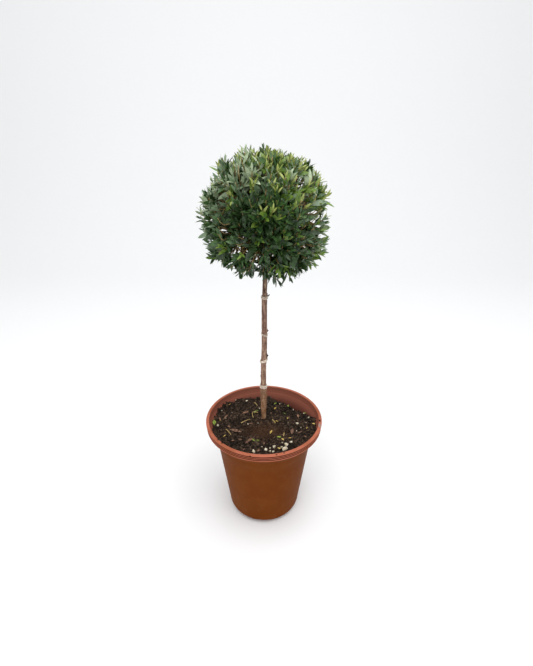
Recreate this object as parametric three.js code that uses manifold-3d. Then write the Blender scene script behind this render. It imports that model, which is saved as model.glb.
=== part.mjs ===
// A standard topiary: a small clipped ball of leaves on a bare stem, standing in a ribbed plastic pot.
// Units are millimetres, +Z is up, and the origin is the centre of the pot's flat underside.
import * as THREE from "three";
import { mergeVertices } from "three/addons/utils/BufferGeometryUtils.js";
import Module from "manifold-3d";

const wasm = await Module();
wasm.setup();

// Driving sizes of the pot
const rimRadius = 130;
const potHeight = 246;
const footRadius = 83;
const footRounding = 22;
const footSteps = 3;
const bodyTopRadius = 108;
const bodyTopHeight = 214;
const shoulderSetBack = 5;
const shoulderBend = [0.12, 0.62];
const shoulderSteps = 3;
const bandFoot = 230;
const bandTop = 242;
const wall = 2.7;
const floorThickness = 4;
const innerRounding = 18;
const lipWidth = 7.5;
const lipRounding = 2.4;
const lipInnerRounding = 1.6;
const ribCount = 3;
const ribDepth = 1.2;
const ribSetBack = [1.4, 0.35];
const ribShares = [0.25, 0.7];
const potSides = 32;
const drainCount = 5;
const drainRadius = 6;
const drainCircle = 50;
const drainSides = 10;

// Driving sizes of the compost in the pot
const soilClearance = 0.5;
const soilEdgeHeight = 222;
const soilMound = 9;
const soilMoundReach = 95;
const soilLumps = 1.6;
const soilRings = [0.8, 0.52, 0.25];
const soilWallHeight = 219;
const seatRadius = 11;
const seatFoot = 14;
const seatDepth = 6;
const seatSides = 20;

// Driving sizes of the stem: its centre line and its radius at each height
const trunkLine = [
  [-0.3, 16, 232],
  [-0.9, 15, 305],
  [-0.6, 14, 377],
  [1.0, 13, 411],
  [1.5, 11.5, 525],
  [3.0, 10.5, 575],
  [3.0, 9.5, 637],
  [3.5, 10, 704.5],
];
const trunkRadii = [
  [232, 7.0],
  [238, 6.2],
  [262, 6.9],
  [288, 7.7],
  [308, 7.4],
  [326, 6.1],
  [382, 5.9],
  [529, 5.5],
  [539, 4.6],
  [568, 4.7],
  [578, 5.3],
  [590, 4.6],
  [704.5, 2.2],
];
const trunkSides = 10;
const trunkRings = 30;

// Pruned side shoots that left a knot on the stem: height, bearing in degrees, length
const knots = [
  [543, 10, 3.2],
  [457, 5, 2.6],
  [396, -8, 3.4],
  [344, 150, 1.8],
];
const knotRadius = 2.6;
const knotTaper = [1.3, 0.8];
const knotRise = 25;
const knotSides = 7;

// Ties left on the stem: height, width of the band, tilt in degrees
const ties = [
  [533.5, 6.0, 4],
  [448, 4.6, -5],
  [385, 6.4, 14],
  [319.5, 7.6, 3],
];
const tieThickness = 1.6;
const tieSides = 12;
const tieProfileSides = 6;
const tieClearance = 0.5;
const tieTiltClearance = 1.6;

// Driving sizes of the crown
const crownCentre = new THREE.Vector3(3, 10, 691.7);
const crownRadius = 121;
const fitGap = 0.3;
const cellGap = 0.7;
const limbGap = 1.2;
const hubShare = 0.46;
const coreShare = 0.7;
const coreFloorShare = 0.29;
const coreGap = 2.2;
const coreStep = 1;
const boughShort = 25;
const coreTipGap = 1.5;

// Shoots: how many over the whole ball, how far they reach, how far they stray and how thick they are
const shootCount = 98;
const shootReach = [0.75, 0.82];
const shootStray = 0.1;
const shootRadius = [2.4, 1.4];
const bareCone = 24;

// Leaves of the shoots, larger than life and fewer
const leafLength = 33;
const leafWidth = 12.5;
const leafThickness = 1.2;
const leafWidest = 0.45;
const leafSunk = 1.2;
const leafShrink = [1, 0.85, 0.7];
const leafStray = 10;

// Where leaves stand on a shoot: share of its length, lean from it, side, and turn about it, in degrees
const leafSpots = [
  [0.74, 58, 1, 0],
  [0.74, 58, -1, 0],
  [0.95, 40, 1, 90],
  [0.95, 40, -1, 90],
  [0.97, 6, 1, 0],
];

// Each mass of foliage: name, bearing and elevation of its middle in degrees,
// the height where its bough leaves the stem, and the start of its random series
const masses = [
  ["top", 0, 90, 0, 20835],
  ["upper_front_right", -42, 30, 653, 20851],
  ["upper_back_right", 48, 30, 669, 20763],
  ["upper_back_left", 138, 30, 661, 20763],
  ["upper_front_left", 228, 30, 645, 20755],
  ["lower_front", -90, -24, 581, 20823],
  ["lower_right", -18, -24, 597, 20857],
  ["lower_back_right", 54, -24, 589, 20823],
  ["lower_back_left", 126, -24, 605, 20797],
  ["lower_left", 198, -24, 613, 20825],
];
const boughFootRadius = 3.0;
const boughTipRadius = 1.7;
const boughSides = 6;
const boughRings = 5;
const boughKnee = [0.62, 0.34];
const stemSides = 6;
const stemRun = 8;
const stemTaper = 0.8;

const degrees = Math.PI / 180;
const mergeDistance = 1e-2;

// A small repeatable random series, so that every build grows the same plant.
const seriesFactor = 48271;
const seriesLength = 2147483647;

function makeRandom(start) {
  let state = start;
  return () => {
    state = (state * seriesFactor) % seriesLength;
    return state / seriesLength;
  };
}

// Solids and meshes

function solidFrom(geometry) {
  const bare = geometry.index ? geometry.toNonIndexed() : geometry.clone();
  bare.deleteAttribute("normal");
  bare.deleteAttribute("uv");
  const merged = mergeVertices(bare, mergeDistance);
  return new wasm.Manifold(
    new wasm.Mesh({
      numProp: 3,
      vertProperties: new Float32Array(merged.attributes.position.array),
      triVerts: new Uint32Array(merged.index.array),
    }),
  );
}

// The largest body of a solid: loose scraps are dropped, and a hollow that fusing sealed is filled.
function mainBody(solid) {
  const bodies = solid.decompose();
  return bodies.reduce((best, body) => (body.volume() > best.volume() ? body : best));
}

// The main body as a mesh, with vertices that lie closer than the merge distance made one.
function fusedGeometry(solid) {
  return geometryFrom(mainBody(solidFrom(geometryFrom(mainBody(solid)))));
}

function geometryFrom(solid) {
  const mesh = solid.getMesh();
  const points = new Float32Array(mesh.numVert * 3);
  for (let i = 0; i < mesh.numVert; i++) {
    points.set(mesh.vertProperties.subarray(i * mesh.numProp, i * mesh.numProp + 3), i * 3);
  }
  const geometry = new THREE.BufferGeometry();
  geometry.setAttribute("position", new THREE.BufferAttribute(points, 3));
  geometry.setIndex(new THREE.BufferAttribute(new Uint32Array(mesh.triVerts), 1));
  geometry.computeVertexNormals();
  return geometry;
}

const finishes = {
  pot: new THREE.MeshStandardMaterial({ color: 0x9a5532, roughness: 0.55, metalness: 0 }),
  soil: new THREE.MeshStandardMaterial({ color: 0x30251d, roughness: 0.95, metalness: 0 }),
  bark: new THREE.MeshStandardMaterial({ color: 0x76594b, roughness: 0.85, metalness: 0 }),
  twig: new THREE.MeshStandardMaterial({ color: 0x5e4634, roughness: 0.8, metalness: 0 }),
  tie: new THREE.MeshStandardMaterial({ color: 0xd8cbb2, roughness: 0.8, metalness: 0 }),
  leaf: new THREE.MeshStandardMaterial({ color: 0x35562f, roughness: 0.5, metalness: 0 }),
};

const plant = new THREE.Group();

function addMesh(name, geometry, finish) {
  const mesh = new THREE.Mesh(geometry, finishes[finish]);
  mesh.name = name;
  plant.add(mesh);
  return mesh;
}

// Small geometry helpers

function mix(a, b, share) {
  return a + (b - a) * share;
}

// Reads a table of [place, value] pairs as a curve that eases from value to value.
function readTable(table, place) {
  if (place <= table[0][0]) return table[0][1];
  for (let i = 1; i < table.length; i++) {
    if (place <= table[i][0]) {
      const share = (place - table[i - 1][0]) / (table[i][0] - table[i - 1][0]);
      return mix(table[i - 1][1], table[i][1], share * share * (3 - 2 * share));
    }
  }
  return table[table.length - 1][1];
}

function bearing(azimuth, elevation) {
  return new THREE.Vector3(
    Math.cos(azimuth * degrees) * Math.cos(elevation * degrees),
    Math.sin(azimuth * degrees) * Math.cos(elevation * degrees),
    Math.sin(elevation * degrees),
  );
}

// A round limb that follows a curve, its radius given by its share of the way along.
function limbGeometry(curve, radiusAt, sides, rings) {
  const geometry = new THREE.CylinderGeometry(1, 1, 1, sides, rings);
  const position = geometry.attributes.position;
  const vertex = new THREE.Vector3();
  for (let i = 0; i < position.count; i++) {
    vertex.fromBufferAttribute(position, i);
    const share = vertex.y + 0.5;
    const centre = curve.getPoint(share);
    const along = curve.getTangent(share);
    const side = new THREE.Vector3(1, 0, 0).addScaledVector(along, -along.x).normalize();
    const front = new THREE.Vector3().crossVectors(side, along).normalize();
    const radius = radiusAt(share);
    centre.addScaledVector(side, vertex.x * radius).addScaledVector(front, vertex.z * radius);
    position.setXYZ(i, centre.x, centre.y, centre.z);
  }
  return geometry;
}

// A straight taper between two points, three-sided unless told otherwise.
function taperGeometry(from, to, fromRadius, toRadius, sides = 3) {
  const along = new THREE.Vector3().subVectors(to, from);
  const geometry = new THREE.CylinderGeometry(toRadius, fromRadius, along.length(), sides, 1);
  geometry.translate(0, along.length() / 2, 0);
  geometry.applyQuaternion(
    new THREE.Quaternion().setFromUnitVectors(new THREE.Vector3(0, 1, 0), along.normalize()),
  );
  geometry.translate(from.x, from.y, from.z);
  return geometry;
}

// The shortest distance between two straight pieces, found along the first in even steps.
function segmentDistance(from, to, lineFrom, lineTo) {
  const line = new THREE.Line3(lineFrom, lineTo);
  const point = new THREE.Vector3();
  const near = new THREE.Vector3();
  let best = Infinity;
  for (let step = 0; step <= 12; step++) {
    point.lerpVectors(from, to, step / 12);
    line.closestPointToPoint(point, true, near);
    best = Math.min(best, near.distanceTo(point));
  }
  return best;
}

// Pot: a turned shell with a flared shoulder, a ribbed band and a rounded lip

function shoulderPoints(radiusFoot, heightFoot, radiusTop, heightTop) {
  const curve = new THREE.QuadraticBezierCurve(
    new THREE.Vector2(radiusFoot, heightFoot),
    new THREE.Vector2(
      mix(radiusFoot, radiusTop, shoulderBend[0]),
      mix(heightFoot, heightTop, shoulderBend[1]),
    ),
    new THREE.Vector2(radiusTop, heightTop),
  );
  return curve.getPoints(shoulderSteps);
}

// A rounded corner of the outline, in straight steps about its own centre.
function cornerPoints(radius, height, rounding, turnFrom, turnTo, steps = 2) {
  const points = [];
  for (let step = 0; step <= steps; step++) {
    const turn = mix(turnFrom, turnTo, step / steps) * degrees;
    points.push(
      new THREE.Vector2(radius + rounding * Math.cos(turn), height + rounding * Math.sin(turn)),
    );
  }
  return points;
}

const innerShoulder = shoulderPoints(
  bodyTopRadius - wall,
  bodyTopHeight - wall,
  rimRadius - lipWidth,
  bandFoot + wall,
);
const innerFoot = new THREE.Vector2(footRadius - wall, floorThickness + innerRounding);

function potOutline() {
  const points = [new THREE.Vector2(0, 0)];
  const footCentre = footRadius - footRounding;
  points.push(...cornerPoints(footCentre, footRounding, footRounding, -90, 0, footSteps));
  points.push(...shoulderPoints(bodyTopRadius, bodyTopHeight, rimRadius - shoulderSetBack, bandFoot));
  const ribHeight = (bandTop - bandFoot) / ribCount;
  for (let rib = 0; rib < ribCount; rib++) {
    const foot = bandFoot + rib * ribHeight;
    const face = rimRadius - ribSetBack[0] + rib * ribSetBack[1];
    points.push(new THREE.Vector2(face, foot + ribHeight * ribShares[0]));
    points.push(new THREE.Vector2(face, foot + ribHeight * ribShares[1]));
    points.push(new THREE.Vector2(face - ribDepth, foot + ribHeight));
  }
  const lipHeight = potHeight - lipRounding;
  points.push(...cornerPoints(rimRadius - lipRounding, lipHeight, lipRounding, 0, 90));
  const innerCorner = rimRadius - lipWidth + lipInnerRounding;
  const innerLip = potHeight - lipInnerRounding;
  points.push(...cornerPoints(innerCorner, innerLip, lipInnerRounding, 90, 180));
  points.push(...[...innerShoulder].reverse());
  const innerCentre = innerFoot.x - innerRounding;
  points.push(...cornerPoints(innerCentre, innerFoot.y, innerRounding, 0, -90, footSteps));
  points.push(new THREE.Vector2(0, floorThickness));
  return points;
}

// Turned about Z: LatheGeometry turns about Y, so it is stood up afterwards.
function turnedGeometry(points, sides) {
  const geometry = new THREE.LatheGeometry(points, sides);
  geometry.rotateX(Math.PI / 2);
  return geometry;
}

function makePot() {
  let pot = solidFrom(turnedGeometry(potOutline(), potSides));
  for (let i = 0; i < drainCount; i++) {
    const turn = ((i + 0.5) / drainCount) * 360 * degrees;
    const drill = new THREE.CylinderGeometry(drainRadius, drainRadius, floorThickness * 3, drainSides);
    drill.rotateX(Math.PI / 2);
    drill.translate(Math.cos(turn) * drainCircle, Math.sin(turn) * drainCircle, 0);
    pot = pot.subtract(solidFrom(drill));
  }
  addMesh("pot", fusedGeometry(pot), "pot");
}

// Compost: fills the pot, with a lumpy top that rises to the stem

const trunkFoot = new THREE.Vector2(trunkLine[0][0], trunkLine[0][1]);
const soilTopHeight = soilEdgeHeight + soilMound;

function innerRadiusAt(height) {
  const wallPoints = [innerFoot, ...innerShoulder];
  const above = wallPoints.findIndex((point) => point.y >= height);
  const low = wallPoints[above - 1];
  const high = wallPoints[above];
  return mix(low.x, high.x, (height - low.y) / (high.y - low.y));
}

// The height of the compost: a mound that eases down from the stem, with gentle lumps away from it.
function soilHeight(x, y) {
  const away = Math.hypot(x - trunkFoot.x, y - trunkFoot.y) - seatRadius;
  const share = THREE.MathUtils.clamp(1 - away / soilMoundReach, 0, 1);
  const rise = soilMound * share * share * (3 - 2 * share);
  const lumps = Math.sin(x * 0.11 + 0.6) * Math.cos(y * 0.13) + 0.6 * Math.sin(x * 0.23 - y * 0.19);
  const fade = THREE.MathUtils.clamp(away / seatFoot, 0, 1);
  return soilEdgeHeight + rise + soilLumps * fade * (0.55 * lumps - 0.9);
}

function makeSoil() {
  const foot = floorThickness + fitGap;
  const rounding = innerRounding - soilClearance;
  const cornerCentre = innerFoot.x - innerRounding;
  const outline = [new THREE.Vector2(0, foot)];
  outline.push(...cornerPoints(cornerCentre, foot + rounding, rounding, -90, 0, footSteps));
  const wallHeights = innerShoulder.map((point) => point.y).filter((height) => height < soilWallHeight);
  for (const height of [...wallHeights, soilWallHeight]) {
    outline.push(new THREE.Vector2(innerRadiusAt(height) - soilClearance, height));
  }
  const edge = outline[outline.length - 1].x;
  for (const share of soilRings) {
    outline.push(new THREE.Vector2(edge * share, soilTopHeight));
  }
  outline.push(new THREE.Vector2(0, soilTopHeight));
  const geometry = turnedGeometry(outline, potSides);
  const position = geometry.attributes.position;
  for (let i = 0; i < position.count; i++) {
    if (position.getZ(i) < soilTopHeight - 1) continue;
    position.setZ(i, soilHeight(position.getX(i), position.getY(i)));
  }
  const seat = new THREE.CylinderGeometry(seatRadius, seatFoot, seatDepth, seatSides);
  seat.rotateX(Math.PI / 2);
  seat.translate(trunkFoot.x, trunkFoot.y, trunkLine[0][2] - fitGap - seatDepth / 2);
  addMesh("soil", fusedGeometry(solidFrom(geometry).add(solidFrom(seat))), "soil");
}

// Stem: one tapering limb from a flat cut on the compost up into the crown, with the knots of pruned shoots

const trunkCurve = new THREE.CatmullRomCurve3(trunkLine.map((p) => new THREE.Vector3(...p)));

function trunkGeometry(extra) {
  return limbGeometry(
    trunkCurve,
    (share) => readTable(trunkRadii, trunkCurve.getPoint(share).z) + extra,
    trunkSides,
    trunkRings,
  );
}

function trunkAt(height) {
  let low = 0;
  let high = 1;
  for (let step = 0; step < 30; step++) {
    const middle = (low + high) / 2;
    if (trunkCurve.getPoint(middle).z < height) low = middle;
    else high = middle;
  }
  return { point: trunkCurve.getPoint(low), radius: readTable(trunkRadii, height) };
}

function makeTrunk() {
  let trunk = solidFrom(trunkGeometry(0));
  for (const [height, azimuth, length] of knots) {
    const { point, radius } = trunkAt(height);
    const tip = point.clone().addScaledVector(bearing(azimuth, knotRise), radius + length);
    const [atFoot, atTip] = knotTaper.map((share) => share * knotRadius);
    trunk = trunk.add(solidFrom(taperGeometry(point, tip, atFoot, atTip, knotSides)));
  }
  addMesh("trunk", fusedGeometry(trunk), "bark");
}

// Ties: soft bands wound round the stem, each a closed ring that clears it

function makeTies() {
  ties.forEach(([height, width, tilt], index) => {
    const { point, radius } = trunkAt(height);
    const widest = Math.max(trunkAt(height - width).radius, trunkAt(height + width).radius, radius);
    const inner = widest + tieClearance + Math.abs(Math.sin(tilt * degrees)) * tieTiltClearance;
    const outline = [];
    for (let step = 0; step < tieProfileSides; step++) {
      const turn = ((step + 0.5) / tieProfileSides) * 360 * degrees;
      outline.push(
        new THREE.Vector2(
          inner + (tieThickness / 2) * (1 + Math.cos(turn)),
          (width / 2) * Math.sin(turn),
        ),
      );
    }
    outline.push(outline[0].clone());
    const mesh = addMesh("stem_tie_" + (index + 1), turnedGeometry(outline, tieSides), "tie");
    mesh.rotation.y = -tilt * degrees;
    mesh.position.copy(point);
  });
}

// Boughs: each leaves the stem, rises and ends where it enters its mass of foliage

function massPlan([name, azimuth, elevation, footHeight, series]) {
  const axis = bearing(azimuth, elevation);
  const hub = crownCentre.clone().addScaledVector(axis, crownRadius * hubShare);
  if (name === "top") {
    const inner = trunkCurve.getPoint(1);
    return { name, axis, hub, inner, arrives: trunkCurve.getTangent(1), random: makeRandom(series) };
  }
  const foot = trunkAt(footHeight).point;
  const inner = hub.clone().add(foot.clone().sub(hub).setLength(boughShort));
  const reach = new THREE.Vector3().subVectors(inner, foot);
  const [over, up] = boughKnee;
  const knee = foot.clone().add(new THREE.Vector3(reach.x * over, reach.y * over, reach.z * up));
  const curve = new THREE.QuadraticBezierCurve3(foot, knee, inner);
  return { name, axis, hub, inner, curve, arrives: curve.getTangent(1), random: makeRandom(series) };
}

const plans = masses.map(massPlan);
const limbs = [];
for (let step = 0; step < trunkRings; step++) {
  const from = trunkCurve.getPoint(step / trunkRings);
  const to = trunkCurve.getPoint((step + 1) / trunkRings);
  if (to.z > crownCentre.z - crownRadius * 1.5) {
    limbs.push({ from, to, radius: readTable(trunkRadii, from.z) });
  }
}

function makeBoughs() {
  const trunkClear = solidFrom(trunkGeometry(fitGap));
  const radiusAt = (share) => mix(boughFootRadius, boughTipRadius, share);
  for (const { name, curve } of plans) {
    if (!curve) continue;
    const limb = solidFrom(limbGeometry(curve, radiusAt, boughSides, boughRings));
    addMesh("bough_" + name, fusedGeometry(limb.subtract(trunkClear)), "twig");
    for (let step = 0; step < boughRings; step++) {
      const from = curve.getPoint(step / boughRings);
      const to = curve.getPoint((step + 1) / boughRings);
      limbs.push({ from, to, radius: radiusAt(step / boughRings) });
    }
  }
}

// Foliage: each mass is a stem, a core and shoots that stand out of the core with paired leaves

// True where a point keeps to the mass's own share of the ball, by the given gap.
function inCell(point, plan, gap) {
  const away = new THREE.Vector3().subVectors(point, crownCentre);
  return plans.every((other) => {
    if (other === plan) return true;
    const between = new THREE.Vector3().subVectors(plan.axis, other.axis).normalize();
    return away.dot(between) > gap;
  });
}

function clearOfLimbs(from, to, radius) {
  return limbs.every(
    (limb) => segmentDistance(from, to, limb.from, limb.to) > limb.radius + radius + limbGap,
  );
}

// Even directions over the whole ball, each given to the mass whose middle is nearest.
function shootDirections() {
  const golden = 180 * (3 - Math.sqrt(5));
  const directions = [];
  for (let i = 0; i < shootCount; i++) {
    const height = 1 - (2 * (i + 0.5)) / shootCount;
    directions.push(bearing(i * golden, Math.asin(height) / degrees));
  }
  return directions.filter((direction) => direction.z > -Math.cos(bareCone * degrees));
}

function nearestPlan(direction) {
  return plans.reduce((best, plan) =>
    plan.axis.dot(direction) > best.axis.dot(direction) ? plan : best,
  );
}

// A leaf is a thin pointed oval of eight faces: its root, its tip, two sides and its two flat middles.
function leafPoints(root, along, face, length) {
  const side = new THREE.Vector3().crossVectors(along, face).normalize();
  const widthNow = (leafWidth * length) / leafLength;
  const middle = root.clone().addScaledVector(along, length * leafWidest);
  return {
    root,
    tip: root.clone().addScaledVector(along, length),
    left: middle.clone().addScaledVector(side, -widthNow / 2),
    right: middle.clone().addScaledVector(side, widthNow / 2),
    over: middle.clone().addScaledVector(face, leafThickness / 2),
    under: middle.clone().addScaledVector(face, -leafThickness / 2),
  };
}

function leafGeometry(points) {
  const geometry = new THREE.OctahedronGeometry(1);
  const position = geometry.attributes.position;
  for (let i = 0; i < position.count; i++) {
    let place = points.under;
    if (position.getX(i) > 0.5) place = points.right;
    if (position.getX(i) < -0.5) place = points.left;
    if (position.getY(i) > 0.5) place = points.tip;
    if (position.getY(i) < -0.5) place = points.root;
    if (position.getZ(i) > 0.5) place = points.over;
    position.setXYZ(i, place.x, place.y, place.z);
  }
  return geometry;
}

// The longest of the allowed leaf sizes that keeps to the mass's space, or nothing.
function fittingLeaf(root, along, face, plan) {
  for (const shrink of leafShrink) {
    const points = leafPoints(root, along, face, leafLength * shrink);
    const corners = [points.tip, points.left, points.right, points.over, points.under];
    const inside =
      points.tip.distanceTo(crownCentre) <= crownRadius &&
      corners.every((corner) => inCell(corner, plan, cellGap));
    if (inside && clearOfLimbs(root, points.tip, (leafWidth * shrink) / 2)) {
      return leafGeometry(points);
    }
  }
  return null;
}

// One shoot: a slim three-sided twig from the hub towards the ball's surface, and its leaves in crossed pairs.
function growShoot(direction, plan) {
  const random = plan.random;
  const stray = () => (random() - 0.5) * shootStray;
  const target = direction.clone().add(new THREE.Vector3(stray(), stray(), stray()));
  const reach = crownRadius * mix(shootReach[0], shootReach[1], random());
  target.normalize().multiplyScalar(reach).add(crownCentre);
  const turn = random() * 360;
  const pieces = [];
  if (!inCell(target, plan, cellGap + 1) || !clearOfLimbs(plan.hub, target, 1)) return pieces;
  pieces.push(taperGeometry(plan.hub, target, ...shootRadius));
  const along = new THREE.Vector3().subVectors(target, plan.hub).normalize();
  const across = new THREE.Vector3().crossVectors(along, bearing(turn, knotRise)).normalize();
  for (const [share, lean, side, turned] of leafSpots) {
    const spread = (lean + leafStray * (random() - 0.5)) * degrees;
    const sideways = across.clone().applyAxisAngle(along, turned * degrees).multiplyScalar(side);
    const out = along.clone().multiplyScalar(Math.cos(spread));
    out.addScaledVector(sideways, Math.sin(spread));
    const face = along.clone().addScaledVector(out, -along.dot(out));
    face.normalize();
    const root = new THREE.Vector3().lerpVectors(plan.hub, target, share);
    root.addScaledVector(out, -leafSunk);
    const leaf = fittingLeaf(root, out, face, plan);
    if (leaf) pieces.push(leaf);
  }
  return pieces;
}

// The core swells from the hub until it nears the leafy shell, the ball's middle, its bough or a neighbour.
function makeCore(plan) {
  const core = new THREE.IcosahedronGeometry(1, 1);
  const position = core.attributes.position;
  const way = new THREE.Vector3();
  const point = new THREE.Vector3();
  for (let i = 0; i < position.count; i++) {
    way.fromBufferAttribute(position, i).normalize();
    let reach = 0;
    let free = true;
    while (free) {
      reach += coreStep;
      point.copy(plan.hub).addScaledVector(way, reach);
      free =
        point.distanceTo(crownCentre) < crownRadius * coreShare &&
        point.clone().sub(crownCentre).dot(plan.axis) > crownRadius * coreFloorShare &&
        point.clone().sub(plan.inner).dot(plan.arrives) > coreTipGap &&
        inCell(point, plan, coreGap);
    }
    point.addScaledVector(way, -coreStep);
    position.setXYZ(i, point.x, point.y, point.z);
  }
  return core;
}

// The stem starts just clear of its bough's tip, or of the trunk's, and ends in the core.
function makeStem(plan) {
  const from = plan.inner.clone().addScaledVector(plan.arrives, fitGap);
  const bend = from.clone().addScaledVector(plan.arrives, stemRun / 2);
  const past = from.clone().addScaledVector(plan.arrives, stemRun);
  return [
    taperGeometry(from, past, boughTipRadius, boughTipRadius, stemSides),
    taperGeometry(bend, plan.hub, boughTipRadius * stemTaper, boughTipRadius * stemTaper, stemSides),
  ];
}

function makeFoliage() {
  const shoots = new Map(plans.map((plan) => [plan, []]));
  for (const direction of shootDirections()) {
    const plan = nearestPlan(direction);
    shoots.get(plan).push(...growShoot(direction, plan));
  }
  for (const [plan, pieces] of shoots) {
    const parts = [makeCore(plan), ...makeStem(plan), ...pieces];
    const joined = parts.map(solidFrom).reduce((whole, piece) => whole.add(piece));
    addMesh("foliage_" + plan.name, fusedGeometry(joined), "leaf");
  }
}

makePot();
makeSoil();
makeTrunk();
makeTies();
makeBoughs();
makeFoliage();

export default plant;
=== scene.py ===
import math
import bmesh
import bpy
import numpy as np
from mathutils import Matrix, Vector, noise


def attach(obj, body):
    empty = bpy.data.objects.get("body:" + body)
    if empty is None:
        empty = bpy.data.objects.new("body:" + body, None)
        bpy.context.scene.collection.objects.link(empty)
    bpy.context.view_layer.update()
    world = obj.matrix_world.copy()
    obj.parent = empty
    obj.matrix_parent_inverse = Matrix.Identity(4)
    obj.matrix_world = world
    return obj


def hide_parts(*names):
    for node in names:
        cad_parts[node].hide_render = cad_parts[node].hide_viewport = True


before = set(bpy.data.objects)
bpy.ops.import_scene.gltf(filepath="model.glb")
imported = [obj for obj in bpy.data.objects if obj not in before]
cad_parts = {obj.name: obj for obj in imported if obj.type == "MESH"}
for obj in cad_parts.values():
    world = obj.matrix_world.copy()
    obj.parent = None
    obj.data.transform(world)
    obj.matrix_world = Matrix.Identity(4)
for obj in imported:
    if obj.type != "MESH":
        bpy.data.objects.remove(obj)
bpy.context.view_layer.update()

mm = 0.001
fullTurn = 2 * math.pi


# Small helpers for numbers and places.
def mix(a, b, share):
    return a + (b - a) * share


def clamp(value, low=0.0, high=1.0):
    return max(low, min(high, value))


def ease(share):
    share = clamp(share)
    return share * share * (3 - 2 * share)


# Reads a table of (place, value) pairs as a curve that eases from value to value.
def readTable(table, place):
    if place <= table[0][0]:
        return table[0][1]
    for before, after in zip(table, table[1:]):
        if place <= after[0]:
            return mix(before[1], after[1], ease((place - before[0]) / (after[0] - before[0])))
    return table[-1][1]


# A small repeatable series of numbers from 0 to 1, the same as that of the solids.
def makeRandom(start):
    state = [start]

    def draw():
        state[0] = (state[0] * 48271) % 2147483647
        return state[0] / 2147483647

    return draw


def bearing(azimuth, elevation):
    a, e = math.radians(azimuth), math.radians(elevation)
    return Vector((math.cos(a) * math.cos(e), math.sin(a) * math.cos(e), math.sin(e)))


# Across and along at a radius and a turn.
def around(radius, turn):
    return radius * math.cos(turn), radius * math.sin(turn)


def unit(rows):
    return rows / np.maximum(np.linalg.norm(rows, axis=-1, keepdims=True), 1e-9)


# A bag gathers the vertices and triangles of one piece.
def newBag():
    return {"verts": [], "tris": [], "count": 0}


def fill(bag, verts, tris):
    verts = np.asarray(verts, float).reshape(-1, 3)
    bag["verts"].append(verts)
    bag["tris"].append(np.asarray(tris, int).reshape(-1, 3) + bag["count"])
    bag["count"] += len(verts)


def makePiece(name, bag, material, replaced):
    verts = np.concatenate(bag["verts"]) * mm
    tris = np.concatenate(bag["tris"]).astype(np.int32)
    mesh = bpy.data.meshes.new(name)
    mesh.vertices.add(len(verts))
    mesh.vertices.foreach_set("co", verts.astype(np.float32).ravel())
    mesh.loops.add(len(tris) * 3)
    mesh.loops.foreach_set("vertex_index", tris.ravel())
    mesh.polygons.add(len(tris))
    mesh.polygons.foreach_set("loop_start", np.arange(0, len(tris) * 3, 3, dtype=np.int32))
    mesh.polygons.foreach_set("use_smooth", np.full(len(tris), True))
    mesh.update()
    mesh.validate()
    mesh.materials.append(material)
    piece = bpy.data.objects.new(name, mesh)
    bpy.context.scene.collection.objects.link(piece)
    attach(piece, "root")
    for node in replaced:
        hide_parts(node)
    print(name, len(tris), "triangles")
    return piece


# The view of the photograph: where the eye is and how far it looks down in degrees. In picture points,
# the focal length, the picture's middle and its height. Then the camera's sensor in millimetres and
# the nearest distance it shows in metres.
view = {
    "eye": Vector((5.7, -825.6, 866.7)), "down": 26.39,
    "focal": 450, "middle": (266.5, 333), "tall": 666, "sensor": 36, "nearest": 0.01,
}


# The line from the eye through a place in the picture.
def pictureRay(across, below):
    down = math.radians(view["down"])
    ahead = Vector((0, math.cos(down), -math.sin(down)))
    up = Vector((0, math.sin(down), math.cos(down)))
    x, y = across - view["middle"][0], below - view["middle"][1]
    return (ahead * view["focal"] + Vector((1, 0, 0)) * x - up * y).normalized()


# Helpers for finishes. A colour as seen on a screen, 0 to 255, becomes the renderer's linear one.
def paint(red, green, blue):
    def linear(value):
        value = value / 255
        return value / 12.92 if value <= 0.04045 else ((value + 0.055) / 1.055) ** 2.4

    return (linear(red), linear(green), linear(blue), 1.0)


def newFinish(name, roughness, specular=0.5):
    material = bpy.data.materials.new(name)
    material.use_nodes = True
    shader = material.node_tree.nodes["Principled BSDF"]
    shader.inputs["Roughness"].default_value = roughness
    shader.inputs["Specular IOR Level"].default_value = specular
    return material, material.node_tree, shader


# Links a node's inputs to sockets or sets them to values.
def setInputs(tree, node, inputs):
    for key, value in inputs.items():
        if isinstance(value, bpy.types.NodeSocket):
            tree.links.new(value, node.inputs[key])
        else:
            node.inputs[key].default_value = value
    return node


def addNode(tree, kind, inputs):
    return setInputs(tree, tree.nodes.new(kind), inputs)


def objectSpace(tree, stretch=(1, 1, 1)):
    place = tree.nodes.new("ShaderNodeTexCoord").outputs["Object"]
    return addNode(tree, "ShaderNodeMapping", {"Vector": place, "Scale": stretch}).outputs["Vector"]


# Noise whose lumps are about this many millimetres across.
def grain(tree, size, detail=3, stretch=(1, 1, 1)):
    place = objectSpace(tree, stretch)
    inputs = {"Vector": place, "Scale": 1 / (size * mm), "Detail": detail, "Roughness": 0.55}
    return addNode(tree, "ShaderNodeTexNoise", inputs).outputs["Fac"]


def stepped(tree, factor, stops):
    ramp = tree.nodes.new("ShaderNodeValToRGB")
    while len(ramp.color_ramp.elements) < len(stops):
        ramp.color_ramp.elements.new(0.5)
    for element, (place, colour) in zip(ramp.color_ramp.elements, stops):
        element.position = place
        element.color = colour
    tree.links.new(factor, ramp.inputs["Fac"])
    return ramp.outputs["Color"]


def blendColours(tree, factor, under, over):
    node = tree.nodes.new("ShaderNodeMix")
    node.data_type = "RGBA"
    return setInputs(tree, node, {0: factor, 6: under, 7: over}).outputs[2]


def remap(tree, value, fromLow, fromHigh, toLow=0.0, toHigh=1.0):
    inputs = {"Value": value, "From Min": fromLow, "From Max": fromHigh, "To Min": toLow, "To Max": toHigh}
    return addNode(tree, "ShaderNodeMapRange", inputs).outputs["Result"]


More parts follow.
